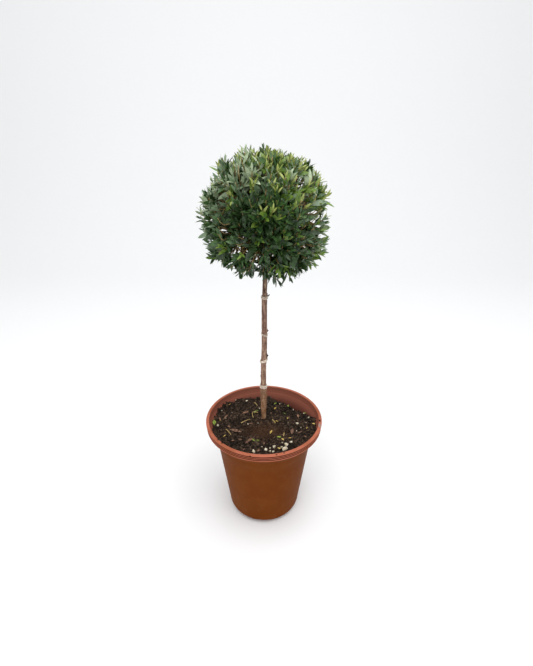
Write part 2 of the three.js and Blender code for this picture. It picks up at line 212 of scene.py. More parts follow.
def addBump(tree, shader, height, depth):
    node = addNode(tree, "ShaderNodeBump", {"Distance": depth * mm, "Height": height})
    tree.links.new(node.outputs["Normal"], shader.inputs["Normal"])


# A soft-edged spot on a surface: 1 within the radius of its place, both in millimetres, and 0 outside.
def spot(tree, place, radius, stretch=(1, 1, 1), soft=0.35):
    middle = [p * mm * s for p, s in zip(place, stretch)]
    away = addNode(tree, "ShaderNodeVectorMath", {0: objectSpace(tree, stretch), 1: middle})
    away.operation = "DISTANCE"
    return remap(tree, away.outputs["Value"], radius * mm, radius * (1 - soft) * mm)


# Lays a tone over a colour in patches of noise, full where the noise passes the second limit.
def patches(tree, colour, tone, size, detail, limits, strength, stretch=(1, 1, 1)):
    factor = remap(tree, grain(tree, size, detail, stretch), *limits, 0.0, strength)
    return blendColours(tree, factor, colour, paint(*tone))


# A colour that changes with height, from rows of height and tone.
def tonesByHeight(tree, rows):
    place = addNode(tree, "ShaderNodeSeparateXYZ", {"Vector": objectSpace(tree)})
    low, high = rows[0][0], rows[-1][0]
    height = remap(tree, place.outputs["Z"], low * mm, high * mm)
    return stepped(tree, height, [((at - low) / (high - low), paint(*tone)) for at, tone in rows])


# The grain also makes the surface rougher here and smoother there.
def roughen(tree, shader, fine, low, high):
    tree.links.new(remap(tree, fine, 0.3, 0.7, low, high), shader.inputs["Roughness"])


# A finish of three tones laid out by noise. The bump is the size of its grain and its depth.
toneStops = (0.34, 0.5, 0.66)
roughSwing = 0.08


def mottled(name, tones, size, roughness, bump):
    material, tree, shader = newFinish(name, roughness)
    stops = [(stop, paint(*tone)) for stop, tone in zip(toneStops, tones)]
    tree.links.new(stepped(tree, grain(tree, size, 4), stops), shader.inputs["Base Color"])
    fine = grain(tree, bump[0], 3)
    roughen(tree, shader, fine, roughness - roughSwing, roughness + roughSwing)
    addBump(tree, shader, fine, bump[1])
    return material


# The triangles between each ring of points and the next, all round.
def sleeve(rings, sides):
    j, k = np.meshgrid(np.arange(rings - 1), np.arange(sides), indexing="ij")
    a, b = j * sides + k, j * sides + (k + 1) % sides
    return np.stack([a, b, b + sides, a, b + sides, a + sides], -1).reshape(-1, 3)


# Round limbs along many centre lines at once: lines is (limbs, points, 3) and radii is (limbs, points).
def tubes(bag, lines, radii, sides):
    lines = np.asarray(lines, float)
    radii = np.asarray(radii, float)
    limbs, points, _ = lines.shape
    along = unit(np.gradient(lines, axis=1))
    chord = unit(lines[:, -1] - lines[:, 0])
    helper = np.where(np.abs(chord[:, 2:3]) < 0.8, np.array([[0.0, 0.0, 1.0]]), np.array([[1.0, 0.0, 0.0]]))
    side = unit(np.cross(along, helper[:, None, :]))
    front = np.cross(side, along)
    turn = np.arange(sides) / sides * fullTurn
    ring = side[:, :, None, :] * np.cos(turn)[None, None, :, None]
    ring = ring + front[:, :, None, :] * np.sin(turn)[None, None, :, None]
    verts = lines[:, :, None, :] + ring * radii[:, :, None, None]
    last = (points - 1) * sides
    ends = [tri for k in range(1, sides - 1) for tri in ((k, k + 1, 0), (last + k + 1, last + k, last))]
    tris = np.concatenate([sleeve(points, sides)[:, ::-1], ends])
    offsets = np.arange(limbs)[:, None, None] * points * sides
    fill(bag, verts, (tris[None] + offsets).reshape(-1, 3))


def bend(start, knee, end, steps):
    t = np.linspace(0, 1, steps)[:, None]
    start, knee, end = (np.array(p, float) for p in (start, knee, end))
    return (1 - t) ** 2 * start + 2 * t * (1 - t) * knee + t**2 * end


# A surface turned about the pot's axis from (radius, height) points.
def turned(bag, outline, sides):
    outline = np.asarray(outline, float)
    turn = np.arange(sides) / sides * fullTurn
    x = outline[:, 0][:, None] * np.cos(turn)[None]
    y = outline[:, 0][:, None] * np.sin(turn)[None]
    z = np.repeat(outline[:, 1][:, None], sides, axis=1)
    fill(bag, np.stack([x, y, z], -1), sleeve(len(outline), sides))


# Many small uneven lumps: a ball of twenty faces at each place, pulled about at every corner.
def lumps(bag, places, sizes, chance, flat=0.7, rough=0.5):
    net = bmesh.new()
    bmesh.ops.create_icosphere(net, subdivisions=1, radius=1)
    ball = np.array([v.co for v in net.verts])
    faces = np.array([[v.index for v in f.verts] for f in net.faces])
    net.free()
    for place, size in zip(places, sizes):
        axes = np.array(size) * np.array([1, 0.8, flat]) * (0.75 + 0.5 * chance.random(3))
        shape = ball * axes * (0.97 - rough / 2 + rough * chance.random((len(ball), 1)))
        turn, tip = chance.random(2) * (fullTurn, 0.9)
        c, s, ct, st = math.cos(turn), math.sin(turn), math.cos(tip), math.sin(tip)
        lean = np.array([[ct, 0, st], [0, 1, 0], [-st, 0, ct]])
        swing = np.array([[c, s, 0], [-s, c, 0], [0, 0, 1]])
        fill(bag, shape @ lean @ swing + place, faces)


# The pot: a turned wall with a flared shoulder, a band of three ribs and a rounded lip,
# on a floor with drain holes.
pot = {
    "rimRadius": 130, "height": 246, "footRadius": 83, "footRounding": 22,
    "bodyTop": (107.2, 204), "shoulderSetBack": 3.6, "shoulderBend": (0.44, 0.5),
    "innerTop": (105.3, 211.3), "innerBend": (0.12, 0.62),
    # a faint crease under the shoulder: where it lies, and how far the wall steps out above it
    "creaseShares": (0.933, 0.945), "creaseStep": 0.9,
    "bandFoot": 230, "bandTop": 242, "wall": 2.7, "floor": 4, "innerRounding": 18,
    "lipWidth": 7.5, "lipRounding": 2.4, "lipInnerRounding": 1.6,
    "ribCount": 3, "ribDepth": 2.6, "ribSetBack": (1.4, 0.35), "ribSteps": 12, "grooveShare": 0.3,
    "groovePower": 0.7, "sides": 224,
    "drainCount": 5, "drainRadius": 6, "drainCircle": 50, "drainReach": 10, "drainSteps": 12,
}


# The concave flare from one (radius, height) point up to another.
def shoulderPoints(foot, top, bendAt, steps):
    knee = [mix(low, high, share) for low, high, share in zip(foot, top, bendAt)]
    return [tuple(p[:2]) for p in bend((*foot, 0), (*knee, 0), (*top, 0), steps)]


def cornerPoints(radius, height, rounding, turnFrom, turnTo, steps=6):
    turns = np.radians(np.linspace(turnFrom, turnTo, steps))
    return [(radius + rounding * math.cos(t), height + rounding * math.sin(t)) for t in turns]


rim, lip, wall = pot["rimRadius"], pot["lipWidth"], pot["wall"]
innerShoulder = shoulderPoints(pot["innerTop"], (rim - lip, pot["bandFoot"] + wall), pot["innerBend"], 12)
innerFoot = (pot["footRadius"] - wall, pot["floor"] + pot["innerRounding"])
innerRadii, innerHeights = zip(innerFoot, *innerShoulder)


def innerRadiusAt(height):
    return float(np.interp(height, innerHeights, innerRadii))


def innerHeightAt(radius):
    return float(np.interp(radius, innerRadii, innerHeights))


# Three rounded ridges with a narrow groove between each and the next.
def ribPoints():
    points = []
    ribHeight = (pot["bandTop"] - pot["bandFoot"]) / pot["ribCount"]
    for rib in range(pot["ribCount"]):
        foot = pot["bandFoot"] + rib * ribHeight
        face = rim - pot["ribSetBack"][0] + rib * pot["ribSetBack"][1]
        # the lowest rib has no groove under it
        start, away = (0.1, pot["grooveShare"]) if rib == 0 else (0.06, 0)
        for share in np.linspace(start, 1, pot["ribSteps"]):
            inGroove = max(0.0, 1 - min(share + away, 1 - share) / pot["grooveShare"])
            depth = pot["ribDepth"] * inGroove ** pot["groovePower"]
            points.append((face - depth, foot + ribHeight * share))
    return points


def potOutline():
    rounding = pot["footRounding"]
    outer = pot["drainCircle"] + pot["drainReach"]
    points = [(outer, 0.0)]
    points += cornerPoints(pot["footRadius"] - rounding, rounding, rounding, -90, 0, 14)
    sideFoot = np.array(points[-1])
    top = np.array(pot["bodyTop"], float)
    belowCrease, aboveCrease = pot["creaseShares"]
    for share in (0.2, 0.4, 0.6, 0.8, belowCrease, aboveCrease):
        step = pot["creaseStep"] if share == aboveCrease else 0
        points.append(tuple(sideFoot + (top - sideFoot) * share + np.array([step, 0])))
    shoulderTop = (rim - pot["shoulderSetBack"], pot["bandFoot"])
    points += shoulderPoints(pot["bodyTop"], shoulderTop, pot["shoulderBend"], 14)
    points += ribPoints()
    rounding = pot["lipRounding"]
    points += cornerPoints(rim - rounding, pot["height"] - rounding, rounding, 0, 90)
    rounding = pot["lipInnerRounding"]
    points += cornerPoints(rim - lip + rounding, pot["height"] - rounding, rounding, 90, 180)
    points += innerShoulder[::-1]
    rounding = pot["innerRounding"]
    points += cornerPoints(innerFoot[0] - rounding, innerFoot[1], rounding, 0, -90, 12)
    points.append((outer, pot["floor"]))
    return points


# One sector of the floor with its drain hole: the top, the underside and the hole's wall.
def drainCell(bag, hole, inner, outer):
    low, high = hole / pot["drainCount"] * fullTurn, (hole + 1) / pot["drainCount"] * fullTurn
    middle = (low + high) / 2
    centre = np.array(around(pot["drainCircle"], middle))
    steps, sideSteps = pot["drainSteps"], 4
    border = [(inner, mix(low, high, i / steps)) for i in range(steps)]
    border += [(mix(inner, outer, i / sideSteps), high) for i in range(sideSteps)]
    border += [(outer, mix(high, low, i / steps)) for i in range(steps)]
    border += [(mix(outer, inner, i / sideSteps), low) for i in range(sideSteps)]
    border = np.array([around(*point) for point in border])
    ring = centre + unit(border - centre) * pot["drainRadius"]
    n = len(border)
    verts = []
    for level in (pot["floor"], 0.0):
        verts += [(x, y, level) for x, y in border] + [(x, y, level) for x, y in ring]
    tris = []
    for i in range(n):
        j = (i + 1) % n
        tris += [(i, n + i, n + j), (i, n + j, j)]
        tris += [(2 * n + i, 3 * n + j, 3 * n + i), (2 * n + i, 2 * n + j, 3 * n + j)]
        tris += [(n + i, 3 * n + i, 3 * n + j), (n + i, 3 * n + j, n + j)]
    fill(bag, verts, tris)


def makePot():
    bag = newBag()
    turned(bag, potOutline(), pot["sides"])
    outer = pot["drainCircle"] + pot["drainReach"]
    inner = pot["drainCircle"] - pot["drainReach"]
    spokes = pot["drainCount"] * pot["drainSteps"]
    for level, flip in ((pot["floor"], False), (0.0, True)):
        verts = [(0, 0, level)]
        verts += [(*around(inner, i / spokes * fullTurn), level) for i in range(spokes)]
        tris = [(0, 1 + i, 1 + (i + 1) % spokes) for i in range(spokes)]
        fill(bag, verts, [t[::-1] for t in tris] if flip else tris)
    for hole in range(pot["drainCount"]):
        drainCell(bag, hole, inner, outer)
    return bag


# the band's tone carries painted light and sheen where its top faces the light; the groove tone is painted
# shade
potTones = {
    "body": (104, 51, 9), "bodyWorn": (116, 62, 18), "rim": (182, 106, 82), "grooveShade": (70, 32, 20),
    # the inner tones: painted shade low in the pot, painted light near the lip
    "innerShadedLow": (102, 58, 47), "innerLitHigh": (134, 80, 64),
    # the pale lip tone is a painted highlight
    "dust": (140, 96, 68), "speck": (66, 36, 20), "lipHighlight": (158, 128, 116), "mark": (52, 34, 28),
}
# places of marks on the rim: place, radius, how far it is squeezed each way, which tone; the pale one is a
# painted highlight on the lip, the dark ones real marks
potMarks = (
    ((122.5, -31.0, 246), 3.6, (1.0, 0.4, 1), "lipHighlight"), ((124.5, -14.0, 246), 2.6, (1.0, 0.5, 1), "mark"),
    ((-27.0, -127.0, 243), 2.4, (1, 1, 0.8), "mark"), ((-96.0, -79.0, 246), 2.2, (0.8, 1, 1), "mark"),
    ((-86.5, -89.0, 246), 2.4, (0.8, 1, 1), "mark"), ((25.8, -124.6, 246), 1.7, (0.8, 1, 1), "mark"),
    ((41.4, -119.4, 246), 1.8, (0.8, 1, 1), "mark"),
)

# The pot's finish: the band's stops lay painted shade along the grooves. A patch is its tone, size, detail,
# limits of the noise and strength.
potLook = {
    "bodyEdge": 228.6, "ribStart": 0.9, "grooveStart": -1.7, "grooveFull": -1.1, "grooveEnd": 0.2,
    # the inner rows: painted shade lower down the inner wall, painted light near the lip
    "inner": ((222, potTones["innerShadedLow"]), (234, potTones["innerLitHigh"])),
    "cloud": (potTones["bodyWorn"], 46, 4, (0.4, 0.62), 0.4),
    "dust": (potTones["dust"], 14, 6, (0.56, 0.76), 0.14),
    "specks": (potTones["speck"], 3.2, 2, (0.72, 0.77), 0.5),
    "roughness": (0.46, 0.62), "grain": 1.4, "depth": 0.05,
}


def finishPot():
    material, tree, shader = newFinish("potPlastic", 0.55, 0.035)
    # the band is lighter than the body, with painted light and sheen where it faces the light from above,
    # and a painted shade line along each groove
    rimLitTone, grooveShadeTone = potTones["rim"], potTones["grooveShade"]
    rows = [(potLook["bodyEdge"], potTones["body"]), (pot["bandFoot"], grooveShadeTone)]
    ribHeight = (pot["bandTop"] - pot["bandFoot"]) / pot["ribCount"]
    for rib in range(pot["ribCount"]):
        top = pot["bandFoot"] + (rib + 1) * ribHeight
        rows += [(top - ribHeight + potLook["ribStart"], rimLitTone), (top + potLook["grooveStart"], rimLitTone)]
        rows += [(top + potLook[edge], grooveShadeTone) for edge in ("grooveFull", "grooveEnd")]
    outside = tonesByHeight(tree, [*rows, (pot["bandTop"] + potLook["ribStart"], rimLitTone)])
    # the inner wall's tones are painted shade, darker deeper down, and painted light towards the lip
    inside = tonesByHeight(tree, potLook["inner"])
    # the wall's inner side is the part whose surface faces the pot's axis
    normal = tree.nodes.new("ShaderNodeNewGeometry").outputs["Normal"]
    facing = addNode(tree, "ShaderNodeVectorMath", {0: objectSpace(tree, (1, 1, 0)), 1: normal})
    facing.operation = "DOT_PRODUCT"
    inward = remap(tree, facing.outputs["Value"], -0.03, -0.07)
    outside = patches(tree, outside, *potLook["cloud"])
    colour = blendColours(tree, inward, outside, inside)
    colour = patches(tree, colour, *potLook["dust"])
    colour = patches(tree, colour, *potLook["specks"])
    for where, radius, stretch, tone in potMarks:
        colour = blendColours(tree, spot(tree, where, radius, stretch), colour, paint(*potTones[tone]))
    tree.links.new(colour, shader.inputs["Base Color"])
    fine = grain(tree, potLook["grain"], 3)
    roughen(tree, shader, fine, *potLook["roughness"])
    addBump(tree, shader, fine, potLook["depth"])
    return material


makePiece("plasticPot", makePot(), finishPot(), ["pot"])

# The compost: a lumpy top, higher at the left and right, lower at the back, with a smooth drier mound.
soil = {
    "clearance": 0.5, "seatRadius": 11, "rings": 150, "spokes": 340, "crowding": 0.8,
    "middle": 228.5, "mound": 3.4, "moundReach": 34, "edgeStart": 42, "edgeReach": 72,
    # lumps of four sizes: how wide and how deep, and how calm the mound is
    "clods": ((40, 3.4), (17, 4.0), (8.0, 2.8), (3.6, 1.3)), "calm": 0.45,
    "smooth": ((-2, -30), (58, 36)), "smoothRagged": 22,
    # height of the compost against the wall, by bearing in degrees
    "edge": (
        (-180, 230), (-90, 227), (0, 230), (9, 231), (16, 225), (25, 221), (34, 216), (42, 211), (53, 212),
        (66, 215), (80, 219), (104, 222), (124, 226), (141, 231), (180, 230),
    ),
    # the side below the edge: shares of the way down to its foot, then the wall's heights
    "sideShares": (0.15, 0.3, 0.45, 0.6, 0.8), "sideHeights": (204, 180, 120, 60, 22),
    "cornerInset": 6, "cornerHeight": 12.5, "lift": 0.4,
}
trunkFoot = (-0.3, 16)


def fromStem(x, y):
    return math.hypot(x - trunkFoot[0], y - trunkFoot[1])


def edgeHeight(turn):
    return readTable(soil["edge"], math.degrees(math.atan2(math.sin(turn), math.cos(turn))))


# How smooth and dry the compost is at a place: 1 on the mound in front of the stem, 0 away from it.
def smoothness(x, y):
    (cx, cy), (rx, ry) = soil["smooth"]
    size = soil["smoothRagged"]
    ragged = noise.noise(Vector((x / size, y / size, 3)))
    return ease(1.25 - math.hypot((x - cx) / rx, (y - cy) / ry) + 0.5 * ragged)


def soilHeight(x, y):
    edge = readTable(soil["edge"], math.degrees(math.atan2(y, x)))
    height = mix(soil["middle"], edge, ease((math.hypot(x, y) - soil["edgeStart"]) / soil["edgeReach"]))
    away = fromStem(x, y) - soil["seatRadius"]
    return height + soil["mound"] * ease(1 - away / soil["moundReach"])


def soilTop(x, y):
    height = soilHeight(x, y)
    calm = 1 - soil["calm"] * smoothness(x, y)
    nearStem = ease((fromStem(x, y) - 6) / 10)
    for size, depth in soil["clods"]:
        value = noise.noise(Vector((x / size, y / size, size)))
        height += depth * (abs(value) * 1.9 - 0.4) * calm * mix(0.35, 1, nearStem)
    return height


def makeSoil():
    bag = newBag()
    rings, spokes, clearance = soil["rings"], soil["spokes"], soil["clearance"]
    verts = [(0, 0, soilTop(0, 0))]
    turns = [spoke / spokes * fullTurn for spoke in range(spokes)]
    edges = []
    for turn in turns:
        edge = innerRadiusAt(edgeHeight(turn))
        for _ in range(4):
            edge = innerRadiusAt(soilTop(*around(edge, turn))) - clearance
        edges.append(edge)
    for ring in range(1, rings + 1):
        for turn, edge in zip(turns, edges):
            radius = edge * (ring / rings) ** soil["crowding"]
            x, y = around(radius, turn)
            verts.append((x, y, max(soilTop(x, y), innerHeightAt(radius + clearance))))
    # the side follows the wall's inner face down from the edge
    tops = [vert[2] for vert in verts[-spokes:]]
    sideFoot = soil["sideHeights"][0]
    for share in soil["sideShares"]:
        for turn, top in zip(turns, tops):
            height = mix(top, sideFoot, share)
            verts.append((*around(innerRadiusAt(height) - clearance, turn), height))
    foot = pot["floor"] + soil["lift"]
    side = [(innerRadiusAt(height) - clearance, height) for height in soil["sideHeights"]]
    side.append((innerFoot[0] - soil["cornerInset"], soil["cornerHeight"]))
    side.append((innerFoot[0] - pot["innerRounding"], foot))
    for radius, height in side:
        verts += [(*around(radius, turn), height) for turn in turns]
    verts.append((0, 0, foot))
    tris = [(0, 1 + spoke, 1 + (spoke + 1) % spokes) for spoke in range(spokes)]
    loops = (len(verts) - 2) // spokes
    for ring in range(loops - 1):
        for spoke in range(spokes):
            a, b = 1 + ring * spokes + spoke, 1 + ring * spokes + (spoke + 1) % spokes
            c, d = a + spokes, b + spokes
            tris += [(a, c, d), (a, d, b)] if (ring + spoke) % 2 else [(a, c, b), (b, c, d)]
    last = 1 + (loops - 1) * spokes
    tris += [(last + spoke, len(verts) - 1, last + (spoke + 1) % spokes) for spoke in range(spokes)]
    fill(bag, verts, tris)
    return bag


# Loose crumbs over the compost, fewer on the smooth mound and none at the stem or in the wall.
crumbs = {
    "count": 2000, "sizes": (0.6, 3.8), "seed": 41,
    "edgeGap": 2, "edgeDrop": 3, "stemGap": 11, "raised": 0.2,
}


def makeCrumbs():
    bag = newBag()
    chance = np.random.default_rng(crumbs["seed"])
    places, sizes = [], []
    while len(places) < crumbs["count"]:
        turn, far, size, kept = chance.random(4)
        turn = turn * fullTurn
        radius = (innerRadiusAt(edgeHeight(turn) - crumbs["edgeDrop"]) - crumbs["edgeGap"]) * math.sqrt(far)
        x, y = around(radius, turn)
        if fromStem(x, y) < crumbs["stemGap"] or kept < 0.6 * smoothness(x, y):
            continue
        size = mix(*crumbs["sizes"], size**3)
        height = max(soilTop(x, y), innerHeightAt(radius + crumbs["edgeGap"])) + crumbs["raised"] * size
        if radius + size * 1.3 > innerRadiusAt(height - size * 0.6):
            continue
        places.append((x, y, height))
        sizes.append(size)
    lumps(bag, places, sizes, chance)
    return bag


# Tones in order: damp, middle, pale, the dry mound, the finest grains.
soilTones = ((17, 12, 9), (52, 40, 31), (98, 79, 63), (74, 48, 30), (138, 116, 95))
crumbTones = ((20, 16, 13), (58, 47, 39), (112, 93, 78), (80, 54, 36), (150, 130, 112))
soilLook = {
    "stops": (0.36, 0.5, 0.7), "size": 5.0,
    "damp": (24, 5, (0.46, 0.6), 0.62), "fine": (2.2, 3, (0.63, 0.75), 0.6),
    "moundHeight": 228, "moundSize": 1.1, "moundSoft": 0.8, "moundStrength": 0.55,
    "grain": 1.3, "depth": 0.7,
}


def finishSoil(name, tones):
    material, tree, shader = newFinish(name, 0.92, 0.12)
    stops = [(stop, paint(*tone)) for stop, tone in zip(soilLook["stops"], tones)]
    colour = stepped(tree, grain(tree, soilLook["size"], 6), stops)
    colour = patches(tree, colour, tones[0], *soilLook["damp"])
    (cx, cy), (rx, ry) = soil["smooth"]
    moundPlace = (cx, cy, soilLook["moundHeight"])
    dry = spot(tree, moundPlace, rx * soilLook["moundSize"], (1, rx / ry, 0.2), soilLook["moundSoft"])
    dry = remap(tree, dry, 0, 1, 0, soilLook["moundStrength"])
    colour = blendColours(tree, dry, colour, paint(*tones[3]))
    colour = patches(tree, colour, tones[4], *soilLook["fine"])
    tree.links.new(colour, shader.inputs["Base Color"])
    addBump(tree, shader, grain(tree, soilLook["grain"], 5), soilLook["depth"])
    return material


makePiece("compost", makeSoil(), finishSoil("darkCompost", soilTones), ["soil"])
makePiece("crumbs", makeCrumbs(), finishSoil("looseCrumbs", crumbTones), ["soil"])


# Where the line of sight through a place in the picture meets the compost.
def onCompost(across, below):
    ray = pictureRay(across, below)
    place = view["eye"] + ray * ((view["eye"].z - 245) / -ray.z)
    while place.z > soilTop(place.x, place.y):
        place = place + ray * 0.4
    return place


# White and cream grit: place in the picture, and size
grit = (
    (235.7, 400.5, 1.4), (246.7, 401.4, 2.3), (259.4, 408.8, 2.2), (279.7, 404.3, 2.1), (292.9, 410.6, 1.8),
    (303.8, 414, 2.4), (308.5, 418.1, 2.1), (297.3, 423.9, 2.6), (291.1, 442.5, 3.0), (286.4, 446.1, 3.7),
    (285.3, 450.3, 4.6), (281.5, 447.6, 2.7), (274.1, 447.6, 4.0), (269.7, 448.3, 2.0), (265.6, 450.3, 2.8),
    (272.8, 452.6, 2.8), (253.6, 451.6, 3.6), (217.9, 426, 2.6), (296.4, 431.3, 1.3), (282.4, 443.2, 1.5),
    (250, 447.5, 1.2), (242, 446, 1.1), (288, 423, 1.1), (270.2, 451.6, 2.2), (262, 447, 1.3),
    (222, 411, 1.2), (232, 413, 1.0), (226, 419, 1.1), (301, 428, 1.2), (306, 423, 1.3),
    (248, 424.5, 1.6), (258, 423.5, 1.2),
)
gritLook = {"seed": 7, "raised": 0.8, "large": 2.5, "swell": (1.15, 1.45), "flat": 0.65, "rough": 0.95}
gritTones = ((170, 154, 120), (214, 202, 174), (238, 232, 214))


def makeGrit():
    bag = newBag()
    chance = np.random.default_rng(gritLook["seed"])
    places = [onCompost(x, y) + Vector((0, 0, size * 0.35 + gritLook["raised"])) for x, y, size in grit]
    sizes = [size * gritLook["swell"][size > gritLook["large"]] for _, _, size in grit]
    lumps(bag, np.array(places), sizes, chance, gritLook["flat"], gritLook["rough"])
    return bag


gritFinish = mottled("whiteGrit", gritTones, 4.0, 0.8, bump=(1.0, 0.3))
makePiece("whiteGrit", makeGrit(), gritFinish, ["soil"])

# Litter on the compost, in leaf shapes: place in the picture, length, width, bearing, rise
litter = {
    "dryLeaves": (
        (235.2, 431.7, 30, 7, -28, 8), (249.0, 442.0, 19, 5.5, 38, 14), (292, 433.5, 12, 6, 80, 38),
        (245.6, 413, 16, 7, 30, 6), (226, 418, 14, 4, 60, 16), (220, 420, 10, 3, 110, 20),
        (300, 433, 10, 3, 30, 10), (229, 427.5, 7, 4, 150, 20), (258.5, 451.4, 7, 4, 40, 15),
        (270.8, 413.8, 6, 3, 30, 12), (283, 435, 9, 2.5, 35, 10), (298, 417, 8, 5, 100, 30),
        (240, 440, 9, 3, -30, 8), (233, 441, 7, 3, 20, 5), (264, 444, 6, 3, 80, 10),
        (305, 437, 7, 3, -40, 8), (244, 450, 8, 3, 50, 12), (289, 419, 6, 2.6, 75, 40),
        (251, 424, 8, 3, 10, 4), (262, 419, 6, 2.4, 140, 5),
    ),
    "yellowBits": (
        (271, 433.1, 9, 3.2, 58, 22), (275, 409, 7, 3, 50, 12), (282.6, 439.8, 7, 3, -50, 10),
        (274.6, 422.8, 8, 2, -70, 20), (276.4, 421.6, 9, 1.6, -45, 14), (279, 449, 8, 2.8, -40, 14),
        (313.4, 424.6, 8, 4, -60, 20), (287.5, 418.8, 5, 2.2, 80, 20), (224.5, 436.5, 6, 2, 50, 14),
        (220.5, 421, 4, 2, 20, 8), (306.8, 428.5, 4, 2, 60, 10), (290, 438.5, 6, 2.2, 10, 8),
        (229.5, 405, 5, 1.6, 40, 10),
    ),
    "greenBits": (
        (214.4, 424.6, 10, 6.4, 100, 48), (253.4, 441.0, 7, 3.6, 150, 20), (257.0, 441.6, 8, 3.8, 20, 15),
        (279, 437.6, 9, 3.6, -10, 8), (275, 404.6, 7, 3.4, 25, 25), (289.6, 405.4, 7, 3.4, 160, 30),
        (292.4, 404.0, 8, 3.8, 60, 45), (284, 414.2, 7, 3, -15, 12), (256.7, 411.4, 8, 3.6, 10, 14),
        (254.5, 413, 5, 2.4, 170, 20), (304.5, 413.8, 8, 2.6, -35, 20),
    ),
}
litterTones = {
    "dryLeaves": ((72, 46, 32), (108, 74, 54), (150, 112, 84)),
    "yellowBits": ((168, 132, 52), (204, 172, 84), (228, 204, 120)),
    "greenBits": ((82, 104, 30), (120, 142, 44), (154, 168, 64)),
}
straws = (
    ((241.1, 424.2), (246, 421.4), (250.2, 420.4)), ((257.8, 413.6), (250.0, 411.0), (253.4, 418.6)),
    ((254.5, 403.7), (256, 404.8), (257.4, 406.8)), ((226.2, 430.5), (229, 433), (231, 436)),
    ((272.2, 420.8), (274.0, 421.6), (275.2, 424.4)), ((283.4, 437.2), (284.4, 434.6), (284.0, 432.2)),
)


# Flat leaf shapes, many at once, from rows of root, direction, upper side, length, width and chance.
# Each is a pointed oval folded along its middle and curled back.
def leafMesh(bag, rows, look):
    root, out, face = (np.array([row[i] for row in rows]) for i in range(3))
    length, width, chance = (np.array([row[i] for row in rows])[:, None] for i in (3, 4, 5))
    side = np.cross(out, face)
    curl = look["curl"] * (0.2 + 1.6 * chance)
    fold = look["fold"] * (0.5 + chance)
    middle, left, right = [], [], []
    for share, wide in look["profile"]:
        spine = root + out * (length * share) - face * (length * curl * share**2)
        middle.append(spine)
        half = width / 2 * wide
        if 0 < share < 1:
            lift = face * half * np.sin(fold)
            left.append(spine + side * half * np.cos(fold) + lift)
            right.append(spine - side * half * np.cos(fold) + lift)
    verts = np.stack(middle + left + right, axis=1)
    rings, edges = len(middle), len(left)
    tris = []
    for base, flip in ((rings, False), (rings + edges, True)):
        part = [(0, base, 1)]
        for k in range(edges - 1):
            part += [(k + 1, base + k, base + k + 1), (k + 1, base + k + 1, k + 2)]
        part.append((rings - 2, base + edges - 1, rings - 1))
        tris += [(c, b, a) if flip else (a, b, c) for a, b, c in part]
    offsets = np.arange(len(rows))[:, None, None] * verts.shape[1]
    fill(bag, verts, (np.array(tris)[None] + offsets).reshape(-1, 3))


leaves = {
    "length": 28, "width": 9.3, "sizes": (0.46, 1.12), "lean": (18, 50), "stray": 34,
    "profile": ((0.0, 0.06), (0.15, 0.36), (0.36, 0.9), (0.58, 1.0), (0.8, 0.68), (0.93, 0.3), (1.0, 0.0)),
    "fold": 0.22, "curl": 0.1, "overReach": 1.03,
    # how far back a leaf is full-grown, the first leaf's place, and how often a twig is young
    "grownAt": 24, "first": 0.5, "young": (0.13, 0.4), "youngRight": 0.35,
    # the least size and width and how much they vary, how narrow young leaves are, the twig's leafy share
    "sizeStray": (0.85, 0.3), "widthStray": (0.88, 0.24), "youngWidth": 0.72, "leafyShare": 0.85,
}


# True where a leaf laid from this root would reach through the pot's wall.
def throughWall(root, reach, width):
    ends = (root, root + reach)
    return any(math.hypot(end.x, end.y) > innerRadiusAt(end.z) - width * 0.6 for end in ends)


def litterRows(rows, draw):
    made = []
    for across, below, length, width, azimuth, rise in rows:
        out = bearing(azimuth, rise)
        face = (Vector((0, 0, 1)) - out * out.z).normalized()
        length *= 1.2
        root = onCompost(across, below) - out * (length / 2) + Vector((0, 0, 1.4 + length * 0.5 * out.z))
        while throughWall(root, out * length, width):
            root -= Vector((root.x, root.y, 0)).normalized() * 0.5
        made.append((root, out, face, length, width * 1.25, draw()))
    return made


for name, rows in litter.items():
    litterBag = newBag()
    leafMesh(litterBag, litterRows(rows, makeRandom(909)), leaves)
    litterFinish = mottled(name + "Finish", litterTones[name], 4.0, 0.7, bump=(0.9, 0.2))
    makePiece(name, litterBag, litterFinish, ["soil"])

strawBag = newBag()
for bends in straws:
    strawLine = bend(*(onCompost(*place) + Vector((0, 0, 3.4)) for place in bends), 12)
    tubes(strawBag, strawLine[None], np.linspace(1.15, 0.7, 12)[None], 5)
strawTones = ((150, 120, 66), (184, 156, 98), (206, 184, 128))
strawFinish = mottled("paleStraw", strawTones, 3.0, 0.8, bump=(0.8, 0.2))
makePiece("straw", strawBag, strawFinish, ["soil"])

# The stem: its centre line as in the solids, and its radius at each height, a little thinner at the foot.
trunkLine = (
    (-0.3, 16, 232), (-0.9, 15, 305), (-0.6, 14, 377), (1.0, 13, 411),
    (1.5, 11.5, 525), (3.0, 10.5, 575), (3.0, 9.5, 637), (3.5, 10, 704.5),
)
trunkRadii = (
    (232, 4.9), (242, 5.0), (262, 5.8), (288, 6.8), (308, 6.9), (326, 5.9), (382, 5.9), (529, 5.5),
    (539, 4.6), (568, 4.7), (578, 5.3), (590, 4.6), (704.5, 2.2),
)
trunk = {
    "foot": 227, "sides": 56, "rings": 560, "ridges": 0.42, "roughFoot": 0.85, "ridgeShare": 0.62,
    # waves of relief: strength, how fine they are round the stem, how long they are along it
    "ridgeWaves": ((1, 3.2, 26), (0.6, 7, 11)), "bandWave": (0.14, 0.8, 3.2),
    # knots of pruned shoots: height, bearing, length, width
    "knots": (
        (537, 10, 2.2, 3.0), (457, 5, 2.0, 3.0), (396, -8, 3.0, 4.4), (344, 150, 1.8, 3.0),
        (482, 215, 1.2, 2.6), (361, 300, 1.0, 3.2), (293, 320, 1.2, 4.0), (262, 200, 1.4, 4.4),
        (572, 250, 1.8, 3.4), (505, 330, 0.9, 2.2),
    ),
}


